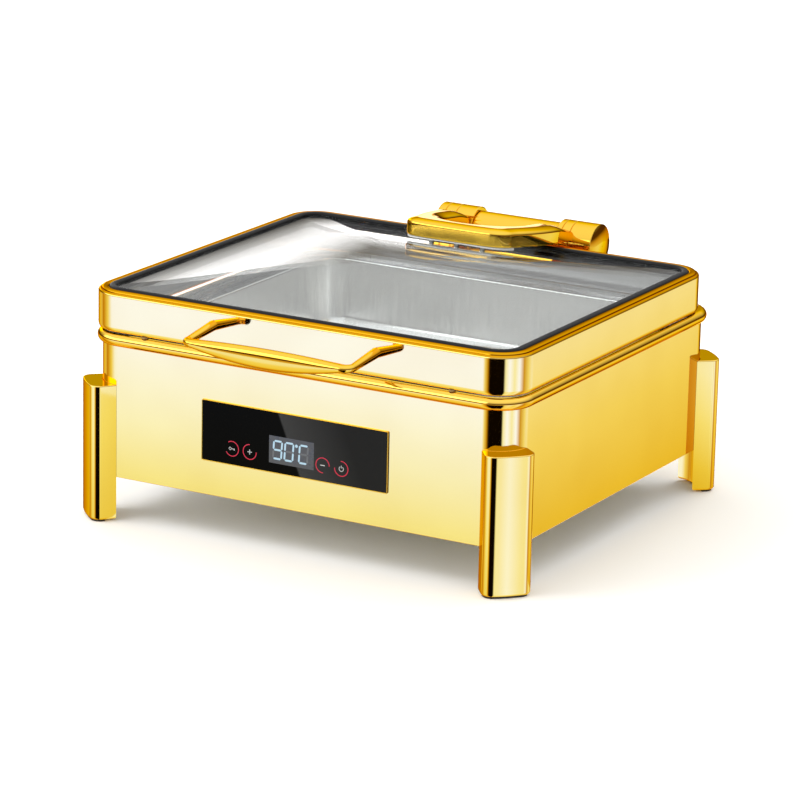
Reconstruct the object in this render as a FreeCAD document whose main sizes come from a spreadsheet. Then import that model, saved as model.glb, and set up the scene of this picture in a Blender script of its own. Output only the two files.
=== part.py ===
import FreeCAD, Part
import math
import os
import re
import Sketcher

Vector = FreeCAD.Vector
Rotation = FreeCAD.Rotation
Placement = FreeCAD.Placement
UP = Vector(0, 0, 1)

# Electric chafing dish with a hinged glass lid.
# Millimetres. X to the right, Y to the back, Z up from the table top.
# Sizes are laid out about the centre of the lid; the last step moves every
# piece so that the whole object is centred on the frame's origin.

SIZES = {
    # lid, seen from above, and the roll round the top of the body
    "lid_width": 420, "lid_depth": 370.5, "lid_corner": 31.5,
    "ledge_depth": 18.75, "bead_reach": 4.6, "bead_height": 11.5, "bead_over_lid": 1.1,
    # body, legs and feet
    "body_height": 129, "body_corner": 29, "sheet_wall": 1.2, "return_flange": 14,
    "cover_recess": 0.3, "leg_drop": 38, "leg_top": 83, "leg_width": 42.5, "leg_round": 9,
    "leg_crown": 0.8, "leg_stand_out": 15.4, "leg_wrap": 5.5, "leg_wall": 2,
    "leg_fit": 0.05, "pad_stand": 1.5,
    "pad_plug": 6, "leg_screw_low": 22, "leg_screw_high": 64,
    # lid frame
    "skirt_gap": 1.5, "skirt_height": 31, "crest_rise": 4.4, "crest_width": 4.5, "lid_sheet": 1.2,
    "band_width": 11.5, "seal_depth": 7.5, "glass_grip": 4, "glass_thick": 4, "glass_rise": 20.5,
    "glass_sink": 1.2, "seal_play": 0.15,
    # pans, the food pan to the two thirds size of the catering standard
    "pan_width": 354, "pan_depth": 325, "pan_flange": 12, "pan_well": 65, "pan_corner": 26,
    "pan_sheet": 1, "pan_lip": 2, "bain_margin": 14, "bain_gap": 5, "bain_well": 78,
    "bain_corner": 30, "bain_lip": 2.5, "deck_play": 1.8, "deck_lip": 6,
    # control panel
    "panel_width": 183, "panel_height": 54.5, "panel_low": 30.5, "panel_edge": 1,
    "panel_proud": 1.5, "panel_glass": 1.4, "panel_rest": 5, "display_shift": 1.85,
    "display_width": 44, "display_height": 24, "display_deep": 5, "display_rise": 51.6,
    "key_rise": 45.4, "key_radius": 3.2, "board_thick": 1.6, "board_margin": 3.5,
    "housing_deep": 15, "housing_wall": 1.5,
    # hinge
    "hinge_setback": 36.75, "hinge_rise": 30.5, "barrel_radius": 20.25, "barrel_inner": 43,
    "barrel_outer": 80, "cap_rim": 1.2, "cap_crown": 2.2, "tube_radius": 16.5, "tube_play": 0.1,
    "washer_thick": 0.6, "pin_radius": 6, "pin_play": 0.05, "pin_end": 78, "barrel_wall": 3.5,
    "barrel_bore": 15.2, "damper_length": 28, "clip_thick": 1, "clip_radius": 9,
    "bracket_width": 56, "bracket_low": 58, "bracket_high": 115.5, "bolt_off": 20, "bolt_low": 67,
    "bolt_high": 104.5, "bolt_radius": 2.5,
    # arm
    "arm_reach": 135, "arm_gap": 1.33, "arm_slope": 0.122, "arm_thick": 16.5, "arm_round": 5,
    "arm_nose": 50, "arm_bow": 1.5, "arm_corner": 12, "arm_waist": 62.5, "arm_tail": 70,
    "arm_window": 37, "window_reach": 112, "arm_screw_in": 11, "arm_screw_pitch": 26,
    "clamp_half": 40, "clamp_deep": 18, "clamp_drop": 9.6, "clamp_sheet": 3, "soft_gap": 0.05,
    # lid handle
    "handle_reach": 50, "handle_half": 80, "handle_rise": 21.1, "handle_bar": 17.6,
    "handle_bar_thick": 10, "handle_drop": 7.6, "handle_tip": 83.2, "handle_tip_rise": 3.14,
    "handle_tip_high": 6.94, "handle_round": 3.3, "handle_root": 4.6, "handle_neck": 2.9,
    # heater under the pans
    "plate_width": 240, "plate_depth": 216, "plate_thick": 6, "element_radius": 4,
    "element_half": 75, "element_front": 72, "element_rear": 95, "element_bend": 22,
    "strip_half": 50, "strip_off": 30, "strip_width": 12, "clamp_thick": 2,
    "shield_sheet": 0.8, "shield_drop": 22.2,
    "bridge_reach": 95, "bridge_high": 14, "bridge_width": 24, "bridge_sheet": 1.5,
    "stud_off": 80, "stud_radius": 2.5,
    # supply side at the back
    "inlet_shift": 120, "inlet_rise": 45, "inlet_flange_width": 50, "inlet_flange_height": 24,
    "inlet_width": 28, "inlet_height": 20.5, "inlet_deep": 22, "inlet_flange": 2.5,
    "inlet_screw_off": 20, "socket_deep": 17, "blade_short": 3,
    "supply_rise": 55, "supply_shift": 60, "supply_width": 90, "supply_height": 42,
    "supply_off": 10.6, "lead_radius": 1.3,
}

FORMULAS = {
    "half_x": "lid_width / 2",
    "half_y": "lid_depth / 2",
    "body_low": "leg_drop + pad_stand",
    "deck_top": "body_low + body_height",
    "body_side": "half_x + bead_over_lid - bead_reach",
    "body_front": "half_y + bead_over_lid - bead_reach",
    "body_rear": "half_y + ledge_depth - bead_reach",
    "body_mid": "(body_rear - body_front) / 2",
    "body_deep": "body_front + body_rear",
    "inner_front": "body_front - sheet_wall",
    "inner_rear": "body_rear - sheet_wall",
    "shell_top": "deck_top - sheet_wall",
    "skirt_low": "deck_top + skirt_gap",
    "crease": "skirt_low + skirt_height",
    "crest": "crease + crest_rise",
    "glass_level": "crest - glass_sink",
    "light_inset": "crest_width + band_width",
    "light_x": "half_x - light_inset",
    "light_y": "half_y - light_inset",
    "well_width": "pan_width - 2 * pan_flange",
    "well_depth": "pan_depth - 2 * pan_flange",
    "bain_width": "well_width + 2 * bain_gap + 2 * sheet_wall",
    "bain_depth": "well_depth + 2 * bain_gap + 2 * sheet_wall",
    "bain_bottom": "deck_top - bain_well",
    "panel_mid": "body_low + panel_low + panel_height / 2",
    "axis_y": "half_y + hinge_setback",
    "axis_z": "skirt_low + hinge_rise",
    "arm_front": "axis_y - arm_reach",
    "arm_window_front": "axis_y - window_reach",
    "arm_screw_y": "arm_front + arm_screw_in",
    "glass_there": "glass_level + glass_rise * (1 - (arm_screw_y / light_y) ^ 2)",
    "arm_low": "glass_there + arm_gap + arm_screw_in * arm_slope",
    "clamp_top": "arm_low - clamp_drop",
    "handle_front": "half_y + handle_reach",
    "frame_shift": "(handle_front - axis_y - barrel_radius) / 2",
    "plate_low": "bain_bottom - plate_thick",
    "element_z": "plate_low - element_radius",
    "clamp_low": "element_z - element_radius - clamp_thick",
    "shield_top": "bain_bottom - shield_drop",
    "shield_low": "shield_top - shield_sheet",
    "board_back": "body_front - display_deep - 0.2",
    "supply_face": "inner_rear - supply_off",
}

doc = FreeCAD.newDocument("chafing_dish")
sheet = doc.addObject("Spreadsheet::Sheet", "Sizes")
for row, (alias, number) in enumerate(SIZES.items(), start=1):
    sheet.set(f"A{row}", alias.replace("_", " "))
    sheet.set(f"B{row}", str(number))
    sheet.setAlias(f"B{row}", alias)
doc.recompute()


def expand(text):
    """Write a formula out until it holds only cells of the sheet."""
    def swap(match):
        word = match.group(0)
        if word in FORMULAS:
            return "(" + expand(FORMULAS[word]) + ")"
        if word in SIZES:
            return "Sizes." + word
        return word
    return re.sub(r"[A-Za-z_]\w*", swap, str(text))


def value(text):
    """The number that a formula gives now."""
    return float(sheet.evalExpression("0.0 + " + expand(text)))


def bind(item, prop, text):
    item.setExpression(prop, expand(text))


# Places and nodes

nodes = []
places = {}


def put(item, x="0", y="0", z="0", turn=None):
    """Place an object by three formulas, turned first."""
    item.Placement = Placement(Vector(0, 0, 0), turn or Rotation())
    places[item.Name] = y
    for axis, text in (("x", x), ("y", y), ("z", z)):
        bind(item, "Placement.Base." + axis, text)
    return item


def node(item, label):
    """Keep an object as a piece of the dish, moved into the frame."""
    item.Label = label
    own = places.get(item.Name, "0")
    bind(item, "Placement.Base.y", f"({own}) + frame_shift")
    nodes.append(item)
    return item


def group(label, items):
    """Like pieces that share one node."""
    made = doc.addObject("Part::Compound", label + "_set")
    made.Links = items
    return node(made, label)


def cut(name, base, tool):
    made = doc.addObject("Part::Cut", name)
    made.Base = base
    made.Tool = tool
    return made


def fuse(name, items):
    made = doc.addObject("Part::MultiFuse", name)
    made.Shapes = items
    return made


def box(name, x0, x1, y0, y1, z0, z1):
    """A block between two corners."""
    made = doc.addObject("Part::Box", name)
    bind(made, "Length", f"({x1}) - ({x0})")
    bind(made, "Width", f"({y1}) - ({y0})")
    bind(made, "Height", f"({z1}) - ({z0})")
    return put(made, x0, y0, z0)


ALONG_X = Rotation(Vector(0, 1, 0), 90)
ALONG_Y = Rotation(Vector(1, 0, 0), -90)
TO_FRONT = Rotation(Vector(1, 0, 0), 90)
DOWN = Rotation(Vector(1, 0, 0), 180)


def rod(name, radius, length, x="0", y="0", z="0", turn=None):
    made = doc.addObject("Part::Cylinder", name)
    bind(made, "Radius", radius)
    bind(made, "Height", length)
    return put(made, x, y, z, turn)


def tube(name, radius, bore, length, x="0", y="0", z="0", turn=None):
    outer = rod(name + "_outer", radius, length)
    inner = rod(name + "_bore", bore, length)
    return put(cut(name, outer, inner), x, y, z, turn)


def screw(name, shank, length, head, high, x, y, z, turn=None):
    """A screw with few faces, its seat at the given place and its shank along the turned Z."""
    shaft = prism(name + "_shank", 8, shank, length)
    top = prism(name + "_head", 10, head, high, turn=DOWN)
    return put(fuse(name, [shaft, top]), x, y, z, turn)


def prism(name, sides, across, high, x="0", y="0", z="0", turn=None):
    """A regular prism with the given distance from its middle to a corner."""
    made = doc.addObject("Part::Prism", name)
    made.Polygon = sides
    bind(made, "Circumradius", across)
    bind(made, "Height", high)
    return put(made, x, y, z, turn)


# Bodies with sketches

def new_body(name):
    return doc.addObject("PartDesign::Body", name)


def sketch(body, name, role, offset="0", shift_x="0", shift_y="0"):
    """A sketch on one of the body's origin planes, moved along its normal."""
    made = body.newObject("Sketcher::SketchObject", name)
    plane = [item for item in body.Origin.OriginFeatures if item.Role == role][0]
    made.AttachmentSupport = [(plane, "")]
    made.MapMode = "FlatFace"
    for axis, text in (("x", shift_x), ("y", shift_y), ("z", offset)):
        if text != "0":
            bind(made, "AttachmentOffset.Base." + axis, text)
    return made


def fix(made, kind, where, text):
    """A dimension bound to a formula."""
    number = value(text)
    index = made.addConstraint(Sketcher.Constraint(kind, *where, number))
    if re.search(r"[a-z]", str(text)):
        bind(made, f"Constraints[{index}]", text)
    return index


def pin_point(made, geometry, end, x, y):
    fix(made, "DistanceX", (-1, 1, geometry, end), x)
    fix(made, "DistanceY", (-1, 1, geometry, end), y)


def outline(made, corners):
    """A closed outline. A corner is (x, y), or (x, y, through) where the edge
    that leaves it is an arc through a third point."""
    points = [Vector(value(c[0]), value(c[1]), 0) for c in corners]
    first = made.GeometryCount
    count = len(corners)
    ends = []
    for index, corner in enumerate(corners):
        start = points[index]
        stop = points[(index + 1) % count]
        if len(corner) == 2:
            made.addGeometry(Part.LineSegment(start, stop), False)
            ends.append((1, 2))
        else:
            via = Vector(value(corner[2][0]), value(corner[2][1]), 0)
            arc = Part.Arc(start, via, stop).toShape().Curve
            angles = [math.atan2(p.y - arc.Center.y, p.x - arc.Center.x) for p in (start, via, stop)]
            ahead = (angles[1] - angles[0]) % math.tau < (angles[2] - angles[0]) % math.tau
            low, high = (angles[0], angles[2]) if ahead else (angles[2], angles[0])
            high = low + (high - low) % math.tau
            made.addGeometry(Part.ArcOfCircle(Part.Circle(arc.Center, UP, arc.Radius), low, high), False)
            ends.append((1, 2) if ahead else (2, 1))
    for index, corner in enumerate(corners):
        after = (index + 1) % count
        made.addConstraint(Sketcher.Constraint(
            "Coincident", first + index, ends[index][1], first + after, ends[after][0]))
        pin_point(made, first + index, ends[index][0], corner[0], corner[1])
        if len(corner) == 3:
            mark = made.addGeometry(Part.Point(Vector(value(corner[2][0]), value(corner[2][1]), 0)), True)
            pin_point(made, mark, 1, corner[2][0], corner[2][1])
            made.addConstraint(Sketcher.Constraint("PointOnObject", mark, 1, first + index))


def circle(made, radius, x="0", y="0"):
    index = made.addGeometry(Part.Circle(Vector(value(x), value(y), 0), UP, value(radius)), False)
    pin_point(made, index, 3, x, y)
    fix(made, "Radius", (index,), radius)


def rounded(made, width, depth, corner, x="0", y="0"):
    """A rectangle with round corners. Its first edge starts in the middle of
    the front, so that a profile there can be swept round it."""
    cx, cy, round_off = value(x), value(y), value(corner)
    hw, hd = value(width) / 2, value(depth) / 2
    near = round_off * (1 - math.sqrt(0.5))
    first = made.GeometryCount
    ins_x, ins_y = hw - round_off, hd - round_off

    def at(px, py):
        return Vector(cx + px, cy + py, 0)

    made.addGeometry([
        Part.LineSegment(at(0, -hd), at(ins_x, -hd)),
        Part.Arc(at(ins_x, -hd), at(hw - near, -hd + near), at(hw, -ins_y)),
        Part.LineSegment(at(hw, -ins_y), at(hw, ins_y)),
        Part.Arc(at(hw, ins_y), at(hw - near, hd - near), at(ins_x, hd)),
        Part.LineSegment(at(ins_x, hd), at(-ins_x, hd)),
        Part.Arc(at(-ins_x, hd), at(-hw + near, hd - near), at(-hw, ins_y)),
        Part.LineSegment(at(-hw, ins_y), at(-hw, -ins_y)),
        Part.Arc(at(-hw, -ins_y), at(-hw + near, -hd + near), at(-ins_x, -hd)),
        Part.LineSegment(at(-ins_x, -hd), at(0, -hd)),
    ], False)
    rule = Sketcher.Constraint
    for index in range(8):
        made.addConstraint(rule("Tangent", first + index, 2, first + index + 1, 1))
    made.addConstraint(rule("Coincident", first + 8, 2, first, 1))
    for index in (0, 4, 8):
        made.addConstraint(rule("Horizontal", first + index))
    for index in (2, 6):
        made.addConstraint(rule("Vertical", first + index))
    for index in (3, 5, 7):
        made.addConstraint(rule("Equal", first + 1, first + index))
    pin_point(made, first, 1, x, f"({y}) - ({depth}) / 2")
    fix(made, "DistanceX", (first + 6, 1, first + 2, 1), width)
    fix(made, "DistanceY", (first, 1, first + 4, 1), depth)
    fix(made, "Radius", (first + 1,), corner)
    fix(made, "DistanceX", (first + 6, 1, first, 1), f"({width}) / 2")


def pad(body, profile, length, back=False, both=False, taper=None):
    made = body.newObject("PartDesign::Pad", profile.Name + "_pad")
    made.Profile = profile
    bind(made, "Length", length)
    made.Reversed = back
    made.Midplane = both
    if taper is not None:
        made.TaperAngle = taper
    doc.recompute()
    return made


def pocket(body, profile, length, back=False, both=False, taper=None):
    before = body.Shape.Volume
    made = body.newObject("PartDesign::Pocket", profile.Name + "_pocket")
    made.Profile = profile
    bind(made, "Length", length)
    made.Reversed = back
    made.Midplane = both
    if taper is not None:
        made.TaperAngle = taper
    doc.recompute()
    if body.Shape.Volume > before - 0.01:
        raise RuntimeError("nothing was cut by " + made.Name)
    return made


def sweep_round(body, profile, spine):
    """Sweep a profile round a rounded rectangle."""
    made = body.newObject("PartDesign::AdditivePipe", profile.Name + "_sweep")
    made.Profile = profile
    made.Spine = (spine, [f"Edge{index + 1}" for index in range(9)])
    doc.recompute()
    return made



def soften(body, radius, chosen):
    """Round the edges that the test picks."""
    tip = body.Tip
    names = [f"Edge{index + 1}" for index, edge in enumerate(tip.Shape.Edges) if chosen(edge)]
    if not names:
        raise RuntimeError("no edge to round on " + body.Name)
    made = body.newObject("PartDesign::Fillet", body.Name + "_round")
    made.Base = (tip, names)
    bind(made, "Radius", radius)
    doc.recompute()
    return made


def level(edge, height, near=0.01):
    """True for an edge that lies flat at one height."""
    low, high = edge.BoundBox.ZMin, edge.BoundBox.ZMax
    return abs(low - height) < near and abs(high - height) < near



# Body shell: four walls drawn from one sheet, with a return flange for the
# bottom cover and openings for the controls, the inlet and the hinge.

def body_shell():
    shell = new_body("shell")
    wall = sketch(shell, "shell_wall", "XY_Plane", "body_low")
    rounded(wall, "2 * body_side", "body_deep", "body_corner", "0", "body_mid")
    pad(shell, wall, "shell_top - body_low")
    room = sketch(shell, "shell_room", "XY_Plane", "body_low + 2.7")
    rounded(room, "2 * body_side - 2 * sheet_wall", "body_deep - 2 * sheet_wall",
            "body_corner - sheet_wall", "0", "body_mid")
    pocket(shell, room, "body_height", back=True)
    mouth = sketch(shell, "shell_mouth", "XY_Plane", "body_low")
    rounded(mouth, "2 * body_side - 2 * sheet_wall", "body_deep - 2 * sheet_wall",
            "body_corner - sheet_wall", "0", "body_mid")
    pocket(shell, mouth, "1.5", back=True)
    hatch = sketch(shell, "shell_hatch", "XY_Plane", "body_low + 1")
    rounded(hatch, "2 * body_side - 2 * return_flange", "body_deep - 2 * return_flange",
            "body_corner - return_flange + 4", "0", "body_mid")
    pocket(shell, hatch, "3", back=True)
    window = sketch(shell, "shell_window", "XZ_Plane", "body_front - 4")
    rounded(window, "panel_width - 2 * panel_edge - 2 * panel_rest",
            "panel_height - 2 * panel_edge - 2 * panel_rest", "2", "0", "panel_mid")
    pocket(shell, window, "6", back=True)
    port = sketch(shell, "shell_port", "XZ_Plane", "-body_rear - 1")
    rounded(port, "inlet_width + 0.4", "inlet_height + 0.4", "2", "-inlet_shift", "body_low + inlet_rise")
    pocket(shell, port, "4", back=True)
    holes = sketch(shell, "shell_inlet_holes", "XZ_Plane", "-body_rear - 1")
    for side in (-1, 1):
        circle(holes, "1.6", f"-inlet_shift + {side} * inlet_screw_off", "body_low + inlet_rise")
    pocket(shell, holes, "4", back=True)
    bolts = sketch(shell, "shell_bracket_holes", "XZ_Plane", "-body_rear - 1")
    for side in (-1, 1):
        for rise in ("bolt_low", "bolt_high"):
            circle(bolts, "bolt_radius + 0.1", f"{side} * bolt_off", "body_low + " + rise)
    pocket(shell, bolts, "4", back=True)
    flange = sketch(shell, "shell_cover_holes", "XY_Plane", "body_low + 1")
    for x, y in cover_places():
        circle(flange, "1.6", x, y)
    pocket(shell, flange, "3", back=True)
    drills = []
    for name, _, _, turn, x, y in leg_corners():
        for rise in ("leg_screw_low", "leg_screw_high"):
            drills.append(rod(f"drill_{name}_{rise}", "2.1", "body_corner + 6", x, y,
                              "body_low + " + rise, turn.multiply(ALONG_Y)))
    made = cut("shell_drilled", shell, fuse("leg_drills", drills))
    return node(made, "body_shell")


def cover_places():
    inset = "return_flange / 2"
    side = f"body_side - {inset}"
    return [(f"{way} * ({side})", f"body_mid + {step} * 110") for way in (-1, 1) for step in (-1, 0, 1)]


def leg_corners():
    """Name, two signs, the turn that takes +Y to the diagonal, and the corner's centre."""
    corners = []
    for name, sx, sy, angle in (("front_right", 1, -1, -135), ("rear_right", 1, 1, -45),
                                ("rear_left", -1, 1, 45), ("front_left", -1, -1, 135)):
        wall = "body_rear" if sy > 0 else "body_front"
        corners.append((name, sx, sy, Rotation(UP, angle), f"{sx} * (body_side - body_corner)",
                        f"{sy} * ({wall} - body_corner)"))
    return corners


# Rim frame: the deck that carries the pans, with a rolled bead round its edge
# and a turned down lip round the opening.

def rim_frame():
    rim = new_body("rim")
    deck = sketch(rim, "rim_deck", "XY_Plane", "shell_top")
    rounded(deck, "2 * body_side", "body_deep", "body_corner", "0", "body_mid")
    pad(rim, deck, "sheet_wall")
    path = sketch(rim, "rim_path", "XY_Plane", "deck_top")
    rounded(path, "2 * body_side", "body_deep", "body_corner", "0", "body_mid")
    roll = sketch(rim, "rim_roll", "YZ_Plane")
    outline(roll, [("-body_front", "deck_top"), ("-body_front", "deck_top - bead_height", (
        "-body_front - bead_reach", "deck_top - bead_height / 2"))])
    sweep_round(rim, roll, path)
    lip = sketch(rim, "rim_lip", "XY_Plane", "shell_top - deck_lip")
    margin = "(deck_play + sheet_wall)"
    rounded(lip, f"bain_width + 2 * {margin}", f"bain_depth + 2 * {margin}", f"bain_corner + {margin}")
    pad(rim, lip, "deck_lip")
    opening = sketch(rim, "rim_opening", "XY_Plane", "shell_top - deck_lip - 1")
    rounded(opening, "bain_width + 2 * deck_play", "bain_depth + 2 * deck_play", "bain_corner + deck_play")
    pocket(rim, opening, "deck_lip + sheet_wall + 2", back=True)
    return node(rim, "rim_frame")


# Pans: drawn wells with drafted walls, a large bottom radius and flat flanges.

PAN_DRAFT = -3


def pan(label, level_top, width, depth, corner, deep, sheet, floor_round, flange_x, flange_y, flange_corner):
    tray = new_body(label + "_tray")
    well = sketch(tray, label + "_well", "XY_Plane", level_top)
    rounded(well, width, depth, corner)
    pad(tray, well, deep, back=True, taper=PAN_DRAFT)
    hollow = sketch(tray, label + "_hollow", "XY_Plane", level_top)
    rounded(hollow, f"({width}) - 2 * ({sheet})", f"({depth}) - 2 * ({sheet})", f"({corner}) - ({sheet})")
    pocket(tray, hollow, f"({deep}) - ({sheet})", taper=PAN_DRAFT)
    low = value(f"{level_top} - ({deep})")
    inner_low = value(f"{level_top} - ({deep}) + ({sheet})")
    soften(tray, floor_round, lambda edge: level(edge, low))
    soften(tray, f"{floor_round} - ({sheet})", lambda edge: level(edge, inner_low))
    edge = sketch(tray, label + "_flange", "XY_Plane", f"{level_top} - ({sheet})")
    rounded(edge, flange_x, flange_y, flange_corner)
    rounded(edge, f"({width}) - 2 * ({sheet})", f"({depth}) - 2 * ({sheet})", f"({corner}) - ({sheet})")
    pad(tray, edge, sheet)
    return tray


def food_pan():
    top = "deck_top + sheet_wall + pan_lip + pan_sheet"
    tray = pan("food", top, "well_width", "well_depth", "pan_corner", "pan_well", "pan_sheet", "12",
               "pan_width", "pan_depth", "pan_corner + pan_flange")
    fold = sketch(tray, "food_fold", "XY_Plane", "deck_top + sheet_wall")
    corner = "(pan_corner + pan_flange)"
    rounded(fold, "pan_width", "pan_depth", corner)
    rounded(fold, "pan_width - 2 * pan_sheet", "pan_depth - 2 * pan_sheet", f"{corner} - pan_sheet")
    pad(tray, fold, "pan_lip")
    return node(tray, "food_pan")


def water_pan():
    top = "deck_top + sheet_wall"
    wide = "pan_width + 2 * bain_margin"
    deep = "pan_depth + 2 * bain_margin"
    corner = "pan_corner + pan_flange + bain_margin"
    tray = pan("bain", top, "bain_width", "bain_depth", "bain_corner", "bain_well + sheet_wall",
               "sheet_wall", "14", wide, deep, corner)
    fold = sketch(tray, "bain_fold", "XY_Plane", top)
    rounded(fold, wide, deep, corner)
    rounded(fold, f"{wide} - 2 * sheet_wall", f"{deep} - 2 * sheet_wall", f"{corner} - sheet_wall")
    pad(tray, fold, "bain_lip")
    return node(tray, "water_pan")


# Bottom cover: a pressed sheet with two rows of cooling slots.

def bottom_cover():
    cover = new_body("cover")
    base = sketch(cover, "cover_base", "XY_Plane", "body_low + cover_recess")
    rounded(base, "2 * body_side - 2 * sheet_wall - 1", "body_deep - 2 * sheet_wall - 1",
            "body_corner - sheet_wall", "0", "body_mid")
    pad(cover, base, "1.5 - cover_recess")
    slot = sketch(cover, "cover_slot", "XY_Plane", "body_low")
    for y in ("body_mid - 95", "body_mid + 45"):
        outline(slot, [("-79", y), ("-75", y), ("-75", y + " + 50"), ("-79", y + " + 50")])
    pocket(cover, slot, "3", back=True)
    row = cover.newObject("PartDesign::LinearPattern", "cover_slots")
    row.Originals = [cover.Tip]
    row.Direction = (slot, ["H_Axis"])
    row.Length = 154
    row.Occurrences = 12
    cover.Tip = row
    doc.recompute()
    holes = sketch(cover, "cover_holes", "XY_Plane", "body_low")
    for x, y in cover_places():
        circle(holes, "1.6", x, y)
    pocket(cover, holes, "3", back=True)
    node(cover, "bottom_cover")
    screws = [screw(f"cover_screw_{index}", "1.5", "4.5", "3", "1.6", x, y, "body_low + cover_recess")
              for index, (x, y) in enumerate(cover_places())]
    group("cover_screws", screws)


# Legs: hollow bars across the corners, hugging the round of the body, closed
# below by rubber plugs.

def leg_outline(made, inset, rear):
    wide = f"leg_width / 2 - ({inset})"
    front = f"body_corner + leg_stand_out - ({inset})"
    corner = f"(leg_round - ({inset}) * 0.5)"
    bow = f"{corner} * 0.2929"
    outline(made, [
        ("-(" + wide + ")", rear),
        ("-(" + wide + ")", f"{front} - {corner}", (f"-({wide}) + {bow}", f"{front} - {bow}")),
        (f"-({wide}) + {corner}", front, ("0", f"{front} + leg_crown")),
        (f"{wide} - {corner}", front, (f"{wide} - {bow}", f"{front} - {bow}")),
        (wide, f"{front} - {corner}"),
        (wide, rear),
    ])


def legs():
    pads, screws = [], []
    for name, _, _, turn, x, y in leg_corners():
        leg = new_body("leg_body_" + name)
        bar = sketch(leg, "leg_bar_" + name, "XY_Plane", "pad_stand")
        leg_outline(bar, "0", "body_corner - leg_wrap")
        pad(leg, bar, "leg_drop + leg_top")
        hug = sketch(leg, "leg_hug_" + name, "XY_Plane", "0")
        circle(hug, "body_corner + leg_fit")
        pocket(leg, hug, "body_low + leg_top + 1", back=True)
        bore = sketch(leg, "leg_bore_" + name, "XY_Plane", "0")
        leg_outline(bore, "leg_wall", "body_corner + leg_wall + 0.5")
        pocket(leg, bore, "body_low + leg_top - leg_wall", back=True)
        drill = sketch(leg, "leg_drill_" + name, "XZ_Plane", "0")
        for rise in ("leg_screw_low", "leg_screw_high"):
            circle(drill, "2.1", "0", "body_low + " + rise)
        pocket(leg, drill, "body_corner + leg_wall + 3")
        top = value("body_low + leg_top")
        soften(leg, "1", lambda edge: level(edge, top))
        put(leg, x, y, "0", turn)
        node(leg, "leg_" + name)
        plug = new_body("plug_" + name)
        shape = sketch(plug, "plug_shape_" + name, "XY_Plane", "0")
        leg_outline(shape, "leg_wall + 0.1", "body_corner + leg_wall + 0.6")
        pad(plug, shape, "pad_stand + pad_plug")
        pads.append(put(plug, x, y, "0", turn))
        along = turn.multiply(ALONG_Y)
        reach = "(body_corner - sheet_wall - 0.45)"
        sx = round(turn.multVec(Vector(0, 1, 0)).x, 6)
        sy = round(turn.multVec(Vector(0, 1, 0)).y, 6)
        for rise in ("leg_screw_low", "leg_screw_high"):
            screws.append(screw(f"leg_screw_{name}_{rise}", "2", "9", "4.4", "2.6",
                                f"{x} + {sx} * {reach}", f"{y} + {sy} * {reach}",
                                "body_low + " + rise, along))
    group("foot_pads", pads)
    group("leg_screws", screws)


# Control panel: a thin bezel, a touch glass bonded to the front wall, and
# behind it the display, the board and its housing.

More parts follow.
